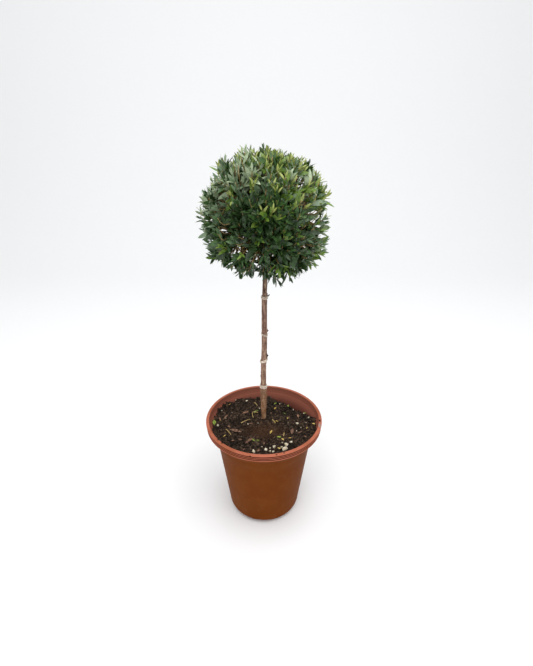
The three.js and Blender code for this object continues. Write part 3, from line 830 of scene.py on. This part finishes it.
# A centripetal curve through the points, as the solid stem's centre line has.
def railPoint(points, share):
    count = len(points)
    place = (count - 1) * share
    whole = min(int(place), count - 2)
    weight = place - whole
    p = [Vector(q) for q in points]
    p0 = p[whole - 1] if whole > 0 else p[0] * 2 - p[1]
    p1, p2 = p[whole], p[whole + 1]
    p3 = p[whole + 2] if whole + 2 < count else p[-1] * 2 - p[-2]
    d0, d1, d2 = ((b - a).length ** 0.5 for a, b in ((p0, p1), (p1, p2), (p2, p3)))
    t1 = ((p1 - p0) / d0 - (p2 - p0) / (d0 + d1) + (p2 - p1) / d1) * d1
    t2 = ((p2 - p1) / d1 - (p3 - p1) / (d1 + d2) + (p3 - p2) / d2) * d1
    c2 = (p2 - p1) * 3 - t1 * 2 - t2
    c3 = (p1 - p2) * 2 + t1 + t2
    return p1 + t1 * weight + c2 * weight**2 + c3 * weight**3


def trunkAt(height):
    low, high = 0.0, 1.0
    for _ in range(26):
        middle = (low + high) / 2
        if railPoint(trunkLine, middle).z < height:
            low = middle
        else:
            high = middle
    return railPoint(trunkLine, low), readTable(trunkRadii, height)


# Relief of the bark at a height and a bearing, in millimetres out from the stem's round.
def barkRelief(turn, height, radius):
    x, y = around(1, turn)

    def wave(strength, across, along):
        return strength * noise.noise(Vector((x * across, y * across, height / along)))

    rough = clamp((330 - height) / 60) * trunk["roughFoot"] + trunk["ridges"]
    ridges = sum(wave(*row) for row in trunk["ridgeWaves"])
    relief = rough * trunk["ridgeShare"] * ridges + wave(*trunk["bandWave"])
    for knotHeight, azimuth, length, width in trunk["knots"]:
        away = (height - knotHeight) / (width * 1.25)
        if abs(away) > 3:
            continue
        gap = (turn - math.radians(azimuth) + math.pi) % fullTurn - math.pi
        spread = away**2 + (gap * radius / width) ** 2
        relief += length * math.exp(-spread * 1.4) * (1 - 0.45 * math.exp(-spread * 9))
    return relief


def makeTrunk():
    bag = newBag()
    sides, rings = trunk["sides"], trunk["rings"]
    verts = []
    for ring in range(rings + 1):
        height = mix(trunk["foot"], trunkLine[-1][2], ring / rings)
        centre = railPoint(trunkLine, 0) if height < trunkLine[0][2] else trunkAt(height)[0]
        radius = readTable(trunkRadii, height)
        for k in range(sides):
            turn = k / sides * fullTurn
            x, y = around(radius + barkRelief(turn, height, radius), turn)
            verts.append((centre.x + x, centre.y + y, height))
    bottom, top = len(verts), len(verts) + 1
    verts += [(trunkLine[0][0], trunkLine[0][1], trunk["foot"]), trunkLine[-1]]
    last = rings * sides
    ends = []
    for k in range(sides):
        ends += [(bottom, (k + 1) % sides, k), (top, last + k, last + (k + 1) % sides)]
    fill(bag, verts, np.concatenate([sleeve(rings + 1, sides), ends]))
    return bag


# Bark: warm brown at the foot, pinkish brown above, darker red-brown near the crown, with streaks along
# the stem, dark bands round it and pale flecks.
barkLook = {
    "tones": (
        (232, (154, 104, 60)), (258, (162, 106, 60)), (300, (158, 116, 82)), (325, (150, 114, 94)),
        (400, (142, 108, 94)), (460, (126, 94, 84)), (528, (128, 99, 90)), (540, (86, 62, 54)),
        (620, (68, 46, 40)),
    ),
    "streaks": ((0.36, (54, 34, 27)), (0.5, (128, 98, 80)), (0.66, (192, 166, 140))),
    "streakSize": 4.0, "streakStretch": (1, 1, 0.22), "streakStrength": 0.5,
    "bands": ((66, 44, 36), 5.0, 3, (0.56, 0.68), 0.5, (0.35, 0.35, 1.6)),
    "flecks": ((200, 176, 148), 2.6, 3, (0.6, 0.68), 0.62, (1, 1, 0.5)),
    "knot": (48, 32, 28), "darkKnots": 3, "knotStrength": 0.8,
}


def finishBark():
    material, tree, shader = newFinish("stemBark", 0.85, 0.2)
    tones = tonesByHeight(tree, barkLook["tones"])
    along = grain(tree, barkLook["streakSize"], 5, barkLook["streakStretch"])
    streaks = stepped(tree, along, [(stop, paint(*tone)) for stop, tone in barkLook["streaks"]])
    colour = blendColours(tree, barkLook["streakStrength"], tones, streaks)
    colour = patches(tree, colour, *barkLook["bands"])
    colour = patches(tree, colour, *barkLook["flecks"])
    for knotHeight, azimuth, _, width in trunk["knots"][:barkLook["darkKnots"]]:
        centre, radius = trunkAt(knotHeight)
        where = centre + bearing(azimuth, 0) * (radius + 1.5)
        dark = remap(tree, spot(tree, where, width * 1.1, (1, 1, 0.8)), 0, 1, 0, barkLook["knotStrength"])
        colour = blendColours(tree, dark, colour, paint(*barkLook["knot"]))
    tree.links.new(colour, shader.inputs["Base Color"])
    addBump(tree, shader, grain(tree, 1.2, 4, (1, 1, 0.4)), 0.35)
    return material


makePiece("stem", makeTrunk(), finishBark(), ["trunk"])

# Dark side buds left beside the ties: height, bearing, length
buds = ((533.5, 8, 6.5), (455, 6, 3.6), (396, -2, 4.4))
budBag = newBag()
for budHeight, azimuth, length in buds:
    centre, radius = trunkAt(budHeight)
    start = centre + bearing(azimuth, 0) * (radius - 0.5)
    tip = start + bearing(azimuth, 35) * length
    budLine = bend(start, start + bearing(azimuth, -10) * (length * 0.6), tip, 8)
    tubes(budBag, budLine[None], np.array([[1.3, 1.2, 1.1, 1.1, 1.2, 1.3, 1.1, 0.5]]), 7)
budFinish = mottled("darkBuds", ((44, 30, 24), (62, 44, 34), (84, 62, 46)), 3.0, 0.8, bump=(0.7, 0.2))
makePiece("sideBuds", budBag, budFinish, ["trunk"])

# Ties: soft string wound round the stem. Each row: height, width, tilt, turns, thickness of the string
ties = {
    "rows": (
        (531.5, 6.0, 3, 3, 1.5), (448, 4.8, -14, 2, 1.2), (385, 5.6, 24, 3, 2.1), (319.5, 7.6, 3, 4, 1.7),
    ),
    "sides": 7, "stepsPerTurn": 30, "tones": ((168, 148, 130), (216, 200, 182), (240, 230, 216)),
}


def makeTie(index, height, width, tilt, turns, thickness):
    bag = newBag()
    random = makeRandom(311 + 17 * index)
    centre, radius = trunkAt(height)
    strands = []
    for turn in range(turns):
        level = (turn + 0.5) / turns - 0.5
        lean = math.tan(math.radians(tilt + 12 * (random() - 0.5)))
        swing = random() * 360
        wave = 0.5 * (random() - 0.5)
        points = []
        for step in range(ties["stepsPerTurn"] + 3):
            angle = math.radians(swing + 360 * step / ties["stepsPerTurn"])
            # the strand follows the stem and rides over its neighbours here and there
            rise = level * width + radius * lean * math.cos(angle) + wave * math.sin(3 * angle)
            at, local = trunkAt(height + rise)
            x, y = around(local + thickness * (0.5 + 0.3 * abs(math.sin(angle * 1.5 + turn))), angle)
            points.append((at.x + x, at.y + y, height + rise))
        strands.append(points)
    lines = np.array(strands)
    tubes(bag, lines, np.full(lines.shape[:2], thickness / 2), ties["sides"])
    # two short ends of the knot
    for end in (0, 1):
        angle = math.radians(-60 + 50 * end + 30 * random())
        away = Vector((*around(1, angle), 0))
        start = centre + away * (radius + thickness * 0.7)
        tip = start + away * 1.4 + Vector((0, 0, -2.5 + 4 * end))
        line = bend(start, start + away * 1.6, tip, 6)
        tubes(bag, line[None], np.full((1, 6), thickness * 0.42), ties["sides"])
    return bag


tieFinish = mottled("paleString", ties["tones"], 1.6, 0.85, bump=(0.5, 0.12))
for index, row in enumerate(ties["rows"]):
    makePiece(f"tie{index + 1}", makeTie(index, *row), tieFinish, [f"stem_tie_{index + 1}"])

# The crown: the same plan as that of the solids.
crown = {
    "centre": Vector((3, 10, 691.7)), "radius": 121, "cellGap": 0.7, "limbGap": 1.2,
    "hubShare": 0.46, "boughShort": 25, "boughKnee": (0.62, 0.34), "boughRadius": (3.0, 1.7),
}
# The shoots of the masses. The knee of each is a share of the way, a lift and a pull towards the middle.
shoots = {
    "count": 98, "reach": (0.75, 0.82), "stray": 0.1, "bareCone": 24,
    "pulledIn": 0.9, "leader": (0.35, 0.65), "knee": (0.55, 5, 4),
}

# name, bearing and elevation of its middle, height where its bough leaves the stem, start of its series
masses = (
    ("top", 0, 90, 0, 20835),
    ("upper_front_right", -42, 30, 653, 20851),
    ("upper_back_right", 48, 30, 669, 20763),
    ("upper_back_left", 138, 30, 661, 20763),
    ("upper_front_left", 228, 30, 645, 20755),
    ("lower_front", -90, -24, 581, 20823),
    ("lower_right", -18, -24, 597, 20857),
    ("lower_back_right", 54, -24, 589, 20823),
    ("lower_back_left", 126, -24, 605, 20797),
    ("lower_left", 198, -24, 613, 20825),
)


def massPlan(name, azimuth, elevation, footHeight, series):
    axis = bearing(azimuth, elevation)
    hub = crown["centre"] + axis * (crown["radius"] * crown["hubShare"])
    plan = {"name": name, "axis": axis, "hub": hub}
    plan["random"], plan["finer"] = makeRandom(series), makeRandom(series + 4)
    if name == "top":
        plan["inner"] = railPoint(trunkLine, 1)
        return plan
    foot = trunkAt(footHeight)[0]
    plan["inner"] = hub + (foot - hub).normalized() * crown["boughShort"]
    reach = plan["inner"] - foot
    over, up = crown["boughKnee"]
    plan["bough"] = (foot, foot + Vector((reach.x * over, reach.y * over, reach.z * up)), plan["inner"])
    return plan


plans = [massPlan(*row) for row in masses]

# The limbs that twigs and leaves keep clear of, as straight pieces: from, to, radius
limbRows = []
for step in range(30):
    begin, finish = railPoint(trunkLine, step / 30), railPoint(trunkLine, (step + 1) / 30)
    if finish.z > crown["centre"].z - crown["radius"] * 1.5:
        limbRows.append((begin, finish, readTable(trunkRadii, begin.z)))
for plan in plans:
    if "bough" in plan:
        line = bend(*plan["bough"], 6)
        for step in range(5):
            radius = mix(*crown["boughRadius"], step / 5)
            limbRows.append((Vector(line[step]), Vector(line[step + 1]), radius))
limbFrom = np.array([row[0] for row in limbRows])
limbAlong = np.array([row[1] - row[0] for row in limbRows])
limbRadius = np.array([row[2] for row in limbRows])


# True where a straight piece keeps clear of every limb.
def clearOfLimbs(start, end, radius, steps=5):
    points = np.linspace(np.array(start), np.array(end), steps)
    offset = points[:, None, :] - limbFrom[None]
    share = (offset * limbAlong[None]).sum(-1) / (limbAlong**2).sum(-1)[None]
    nearest = limbAlong[None] * np.clip(share, 0, 1)[..., None]
    gaps = np.linalg.norm(offset - nearest, axis=-1) - limbRadius[None]
    return gaps.min() > radius + crown["limbGap"]


# True where a point keeps to the mass's own share of the ball.
def inCell(point, plan, gap):
    away = point - crown["centre"]
    return all(
        other is plan or away.dot((plan["axis"] - other["axis"]).normalized()) > gap for other in plans
    )


def shootDirections():
    golden = 180 * (3 - math.sqrt(5))
    rows = []
    for i in range(shoots["count"]):
        height = 1 - 2 * (i + 0.5) / shoots["count"]
        rows.append(bearing(i * golden, math.degrees(math.asin(height))))
    return [row for row in rows if row.z > -math.cos(math.radians(shoots["bareCone"]))]


# Sprays of fine twigs on each shoot: most reach the ball's surface, and a few stay inside.
sprays = {
    "outer": 8, "inner": 3, "spread": 0.24, "outerReach": (0.82, 0.96), "innerReach": (0.5, 0.74),
    "twigRadius": (1.3, 0.6), "spacing": (10.5, 15.5), "leafyLength": 56,
    "ragged": 0.055, "raggedSize": 0.3, "outward": 0.62, "upright": (0.12, 1.05), "wander": 0.5,
    # along the shoot's limb: how thick it is, its points and where twigs start on it
    "limbRadius": (1.5, 0.75), "points": 9, "outerStart": (0.3, 0.85), "innerStart": (0.1, 0.6),
    # the turn from twig to twig, the furthest reach, and the depth and width kept free of twigs at the stem
    "spiral": 2.39996, "mostReach": 1.06, "bareFoot": (0.93, 26),
    # how full the ball is by bearing across its front, from -180 at the left through -90 at the bottom
    "fullness": (
        (-180, 1.04), (-160, 0.99), (-145, 1.12), (-122, 0.98), (-107, 1.04), (-85, 1.03), (-68, 1.09),
        (-55, 1.04), (-43, 1.03), (-28, 1.08), (-12, 0.98), (5, 0.93), (20, 1.02), (30, 0.97), (40, 1.07),
        (50, 0.95), (62, 1.04), (74, 0.96), (82, 0.95), (95, 0.97), (110, 1.04), (120, 0.94), (130, 1.05),
        (142, 0.94), (170, 1.0), (180, 1.04),
    ),
}
# leaf tints, three tones each: the first five are one green with painted shade, sky sheen and highlight,
# darkest first; the last two are the young tips
tints = {
    "leavesShade": ((20, 34, 15), (28, 46, 20), (38, 60, 28)),
    "leavesPartShade": ((30, 50, 23), (40, 63, 29), (52, 78, 37)),
    "leavesGreen": ((46, 72, 34), (58, 88, 43), (72, 104, 54)),
    "leavesSkySheen": ((86, 108, 78), (106, 128, 96), (128, 148, 116)),
    "leavesPaleHighlight": ((130, 148, 112), (154, 170, 136), (178, 192, 158)),
    "leavesBright": ((84, 116, 38), (106, 136, 50), (128, 152, 68)),
    "leavesTip": ((136, 152, 76), (160, 170, 94), (184, 190, 118)),
}

# Small openings right through the ball: a place in the picture, and a radius in millimetres
openings = (
    (247.0, 243.0, 2.0), (237.4, 249.6, 3.4), (234.0, 249.0, 2.4), (241.0, 250.6, 2.0), (246.8, 252.0, 2.6),
    (226.0, 231.2, 2.6), (222.8, 231.6, 2.0), (204.2, 218.0, 2.0), (210.2, 218.8, 2.2), (214.9, 211.7, 1.6),
    (228.2, 198.0, 1.4), (318.0, 226.0, 2.3), (311.0, 221.0, 2.4), (300.0, 226.5, 2.4), (304.0, 246.0, 2.6),
    (271.8, 256.7, 1.4), (297.0, 180.0, 1.8), (300.0, 186.4, 1.9), (235.0, 170.5, 1.3), (250.6, 262.0, 1.2),
    (244.6, 273.0, 1.2), (257.4, 272.6, 1.5), (315.0, 212.0, 2.2), (309.6, 212.0, 2.3), (305.5, 204.0, 2.0),
    (243.0, 236.5, 1.6), (257.0, 258.0, 1.5), (214.0, 240.0, 1.3), (320.0, 236.0, 2.0), (218.0, 176.0, 1.2),
)
# the lines of sight from the eye through the openings
openRays = [(np.array(pictureRay(across, below)), radius) for across, below, radius in openings]
eyePoint = np.array(view["eye"])


# True where any point lies within an opening, seen from the eye.
def inOpening(points, slack=0.0):
    offset = points - eyePoint
    for along, radius in openRays:
        away = np.linalg.norm(offset - (offset @ along)[:, None] * along[None], axis=1)
        if away.min() < radius + slack:
            return True
    return False


# How much painted light a spray's leaves take: a base, more towards the ball's outline, its top, its sides
# and its lower right, with some chance, and less inside as painted shade. Up to each level, a spray takes
# its tints by these chances.
paintedLightRule = {
    "base": 0.3, "outline": 0.56, "top": (0.1, 0.48), "bottom": 0.72, "sides": 0.06, "lowerRight": 0.5,
    "chance": 0.24, "inside": 0.26,
    "levels": (
        (0.16, ((0.6, "leavesShade"), (1, "leavesPartShade"))),
        (0.42, ((0.8, "leavesPartShade"), (1, "leavesGreen"))),
        (0.68, ((0.6, "leavesGreen"), (1, "leavesPartShade"))),
        (0.89, ((0.55, "leavesSkySheen"), (1, "leavesGreen"))),
        (9, ((0.6, "leavesPaleHighlight"), (0.85, "leavesSkySheen"), (1, "leavesGreen"))),
    ),
}


# Which tint a spray's leaves take, by its place on the ball and by chance: its painted light or shade.
def sprayTint(heading, isOuter, draw):
    reach = math.hypot(heading.x, heading.z)
    rise = heading.z if heading.z > 0 else heading.z * paintedLightRule["bottom"]
    atTop, perReach = paintedLightRule["top"]
    light = paintedLightRule["base"] + paintedLightRule["outline"] * reach**2 + rise * (atTop + perReach * reach)
    light += paintedLightRule["sides"] * abs(heading.x)
    light += paintedLightRule["lowerRight"] * max(0.0, heading.x) * max(0.0, -heading.z)
    light += paintedLightRule["chance"] * (draw() - 0.5) - (0 if isOuter else paintedLightRule["inside"])
    chance = draw()
    choices = next(choices for level, choices in paintedLightRule["levels"] if light < level)
    return next(name for share, name in choices if chance < share)


# How far the ball reaches in a direction, as a share of its radius.
def fullnessAt(heading):
    across = math.degrees(math.atan2(heading.z, heading.x))
    return mix(1, readTable(sprays["fullness"], across), 1 - heading.y**2)


# Leaves in crossed pairs along a twig, smaller towards its tip. The youngest pairs of some twigs are paler.
def growLeaves(line, draw, isOuter, heading, limit, leafRows):
    tint = sprayTint(heading, isOuter, draw)
    base, perRise = leaves["young"]
    young = isOuter and draw() < base + perRise * clamp(heading.z + leaves["youngRight"] * heading.x)
    firstTint = "leavesTip" if heading.z + 0.4 * draw() > 0.25 else "leavesBright"
    tangents = unit(np.gradient(line, axis=0))
    lengths = np.concatenate([[0], np.cumsum(np.linalg.norm(np.diff(line, axis=0), axis=1))])
    back = leaves["first"]
    turn = draw() * math.pi
    pair = 0
    sizeLeast, sizeMore = leaves["sizeStray"]
    widthLeast, widthMore = leaves["widthStray"]
    while back < min(lengths[-1] * leaves["leafyShare"], sprays["leafyLength"]):
        place = lengths[-1] - back
        root = np.array([np.interp(place, lengths, line[:, i]) for i in range(3)])
        along = unit(np.array([np.interp(place, lengths, tangents[:, i]) for i in range(3)]))
        grown = clamp(back / leaves["grownAt"])
        size = mix(*leaves["sizes"], grown) * (sizeLeast + sizeMore * draw())
        helper = np.array([0.31, 0.17, 0.94]) if abs(along[2]) < 0.85 else np.array([0.9, 0.4, 0.1])
        across = unit(np.cross(along, helper))
        sideways = across * math.cos(turn) + np.cross(along, across) * math.sin(turn)
        for sign in (1, -1):
            lean = math.radians(mix(*leaves["lean"], grown) + leaves["stray"] * (draw() - 0.5))
            out = unit(along * math.cos(lean) + sideways * (sign * math.sin(lean)))
            face = unit(along - out * float(along @ out))
            length = leaves["length"] * size
            tip = root + out * length
            far = np.linalg.norm(tip - np.array(crown["centre"])) / crown["radius"]
            wide = leaves["width"] * size * (widthLeast + widthMore * draw())
            wide *= mix(leaves["youngWidth"], 1, grown)
            chance = draw()
            if far > limit or inOpening(np.linspace(root, tip, 4), wide * 0.3):
                continue
            if not clearOfLimbs(root, tip, 1.0, 3):
                continue
            name = tint
            if young and pair < 2:
                name = firstTint
            elif young and pair < 4:
                name = "leavesBright"
            leafRows[name].append((root, out, face, length, wide, chance))
        back += mix(*sprays["spacing"], draw()) * (0.5 + 0.5 * grown)
        turn += math.pi / 2 + 0.3 * (draw() - 0.5)
        pair += 1


def growCrown():
    twigLines, twigRadii, limbLines, limbRadii = [], [], [], []
    leafRows = {name: [] for name in tints}
    centre, radius, points = crown["centre"], crown["radius"], sprays["points"]
    footLevel, footWidth = sprays["bareFoot"]
    leaderFoot, leaderReach = shoots["leader"]
    kneeShare, lift, pull = shoots["knee"]
    for direction in shootDirections():
        plan = max(plans, key=lambda p: p["axis"].dot(direction))
        random, finer = plan["random"], plan["finer"]
        stray = Vector([(random() - 0.5) * shoots["stray"] for _ in range(3)])
        target = centre + (direction + stray).normalized() * (radius * mix(*shoots["reach"], random()))
        # the solids use one more number of the series here
        random()
        if not inCell(target, plan, crown["cellGap"] + 1):
            target = centre + (target - centre) * shoots["pulledIn"]
        # the shoot leaves its mass's stem somewhere between the bough's tip and the hub
        leader = plan["inner"].lerp(plan["hub"], leaderFoot + leaderReach * finer())
        out = (target - centre).normalized()
        knee = leader.lerp(target, kneeShare) + Vector((0, 0, lift)) - out * pull
        mainLine = bend(leader, knee, target, points)
        limbLines.append(mainLine)
        limbRadii.append(np.linspace(*sprays["limbRadius"], points))
        tangentA = out.cross(Vector((0.3, 0.2, 1))).normalized()
        tangentB = out.cross(tangentA)
        for i in range(sprays["outer"] + sprays["inner"]):
            isOuter = i < sprays["outer"]
            turn = i * sprays["spiral"] + finer() * 0.9
            away = sprays["spread"] * math.sqrt((i % sprays["outer"] + 0.35) / sprays["outer"])
            away *= 1 + 0.25 * (finer() - 0.5)
            heading = out + tangentA * (away * math.cos(turn)) + tangentB * (away * math.sin(turn))
            heading.normalize()
            # the outline is ragged: some sprays stand out and others fall short
            swell = fullnessAt(heading) + sprays["ragged"] * noise.noise(heading / sprays["raggedSize"]) * 2
            share = sprays["outerReach"] if isOuter else sprays["innerReach"]
            end = centre + heading * (radius * min(mix(*share, finer()) * swell, sprays["mostReach"]))
            startShare = mix(*sprays["outerStart" if isOuter else "innerStart"], finer())
            start = Vector(mainLine[int(round(startShare * (points - 1)))])
            # no twigs hang round the stem where it enters the ball
            nearStem = math.hypot(end.x - centre.x, end.y - centre.y) < footWidth
            if end.z < centre.z - radius * footLevel and nearStem:
                continue
            # the young end of each twig turns upright, most of all on the upper half
            rise = mix(*sprays["upright"], clamp(0.5 + 0.7 * heading.z)) * (0.7 + 0.6 * finer())
            wander = Vector((finer() - 0.5, finer() - 0.5, finer() - 0.5)) * sprays["wander"]
            aim = (heading * sprays["outward"] + Vector((0, 0, rise)) + wander).normalized()
            line = bend(start, end - aim * ((end - start).length * 0.55), end, points)
            if not clearOfLimbs(line[4], line[-1], 0.5) or (inOpening(line, 0.1) and finer() < 0.6):
                continue
            twigLines.append(line)
            twigRadii.append(np.linspace(*sprays["twigRadius"], points))
            limit = leaves["overReach"] + 0.03 * finer() + 0.8 * (swell - 1)
            growLeaves(line, finer, isOuter, heading, limit, leafRows)
    return twigLines, twigRadii, limbLines, limbRadii, leafRows


print("growing the crown")
twigLines, twigRadii, limbLines, limbRadii, leafRows = growCrown()
foliageNodes = ["foliage_" + plan["name"] for plan in plans]
for name, tones in tints.items():
    leafFinish = mottled(name + "Finish", tones, 9.0, 0.4, bump=(1.1, 0.12))
    leafBag = newBag()
    leafMesh(leafBag, leafRows[name], leaves)
    makePiece(name, leafBag, leafFinish, foliageNodes)
print("leaves", sum(len(rows) for rows in leafRows.values()), "twigs", len(twigLines))

# Wood from the youngest to the oldest: tones, roughness, depth of its grain
wood = {
    "youngTwigs": (((112, 92, 54), (148, 124, 76), (174, 150, 100)), 0.7, 0.1),
    "brownTwigs": (((66, 46, 32), (94, 70, 48), (122, 96, 66)), 0.8, 0.2),
    "darkBoughs": (((52, 32, 24), (78, 50, 38), (104, 72, 54)), 0.8, 0.2),
}
twigFinish, limbFinish, boughFinish = (
    mottled(name, tones, 5.0, roughness, bump=(0.8, depth))
    for name, (tones, roughness, depth) in wood.items()
)
twigBag = newBag()
tubes(twigBag, twigLines, twigRadii, 5)
makePiece("fineTwigs", twigBag, twigFinish, foliageNodes)
limbBag = newBag()
tubes(limbBag, limbLines, limbRadii, 6)
for plan in plans:
    leader = bend(plan["inner"], plan["inner"].lerp(plan["hub"], 0.5), plan["hub"], 9)
    tubes(limbBag, leader[None], np.linspace(1.7, 1.3, 9)[None], 8)
makePiece("innerTwigs", limbBag, limbFinish, foliageNodes)

boughBag = newBag()
for plan in plans:
    if "bough" not in plan:
        continue
    line = bend(*plan["bough"], 36)
    wobble = np.array([noise.noise_vector(Vector(p) / 14) for p in line]) * 0.8
    line = line + wobble * np.sin(np.linspace(0, 1, 36)[:, None] * math.pi)
    radii = np.linspace(*crown["boughRadius"], 36) * (1 + 0.08 * np.sin(np.arange(36) * 1.7))
    tubes(boughBag, line[None], radii[None], 12)
makePiece("boughs", boughBag, boughFinish, ["bough_" + p["name"] for p in plans if "bough" in p])


# The studio, in metres: a pale floor that curves up behind, soft light from above and in front,
# and the photograph's view. Each light is its place, what it points at, its size and its power.
studio = {
    "front": -4.0, "back": 1.6, "curve": 1.2, "wallTop": 4.5, "halfWidth": 5.0, "gap": 0.0002, "grey": 0.92,
    "lights": {
        "skyPanel": ((0.2, -0.5, 2.6), (0, 0, 0.4), 2.4, 46),
        "frontFill": ((-1.2, -2.2, 1.3), (0, 0, 0.45), 1.8, 12),
    },
    "sky": (0.97, 0.985, 1.0, 1), "skyStrength": 0.72,
}


def makeStage():
    back, curve, halfWidth = studio["back"], studio["curve"], studio["halfWidth"]
    rows = [(studio["front"], 0.0), (back, 0.0)]
    for turn in np.radians(np.linspace(8, 90, 14)):
        rows.append((back + curve * math.sin(turn), curve - curve * math.cos(turn)))
    rows.append((back + curve, studio["wallTop"]))
    verts = [(x, y, z - studio["gap"]) for y, z in rows for x in (-halfWidth, halfWidth)]
    faces = [(2 * i, 2 * i + 1, 2 * i + 3, 2 * i + 2) for i in range(len(rows) - 1)]
    mesh = bpy.data.meshes.new("studioFloor")
    mesh.from_pydata(verts, [], faces)
    for face in mesh.polygons:
        face.use_smooth = True
    material, _, shader = newFinish("paleFloor", 0.9, 0.1)
    shader.inputs["Base Color"].default_value = (studio["grey"], studio["grey"], studio["grey"], 1)
    mesh.materials.append(material)
    floor = bpy.data.objects.new("studioFloor", mesh)
    bpy.context.scene.collection.objects.link(floor)


def makeLight(name, place, target, size, power):
    light = bpy.data.lights.new(name, "AREA")
    light.size = size
    light.energy = power
    lamp = bpy.data.objects.new(name, light)
    lamp.location = place
    lamp.rotation_euler = (Vector(target) - Vector(place)).to_track_quat("-Z", "Y").to_euler()
    bpy.context.scene.collection.objects.link(lamp)


def makeCamera():
    data = bpy.data.cameras.new("camera")
    data.sensor_width = view["sensor"]
    data.lens = data.sensor_width * view["focal"] / view["tall"]
    data.clip_start = view["nearest"]
    camera = bpy.data.objects.new("camera", data)
    camera.location = view["eye"] * mm
    camera.rotation_euler = (math.radians(90 - view["down"]), 0, 0)
    bpy.context.scene.collection.objects.link(camera)
    bpy.context.scene.camera = camera


print("studio, lights and camera")
makeStage()
makeCamera()
for name, row in studio["lights"].items():
    makeLight(name, *row)
world = bpy.data.worlds.new("softSky")
bpy.context.scene.world = world
world.use_nodes = True
world.node_tree.nodes["Background"].inputs["Color"].default_value = studio["sky"]
world.node_tree.nodes["Background"].inputs["Strength"].default_value = studio["skyStrength"]
bpy.context.scene.view_settings.view_transform = "Standard"
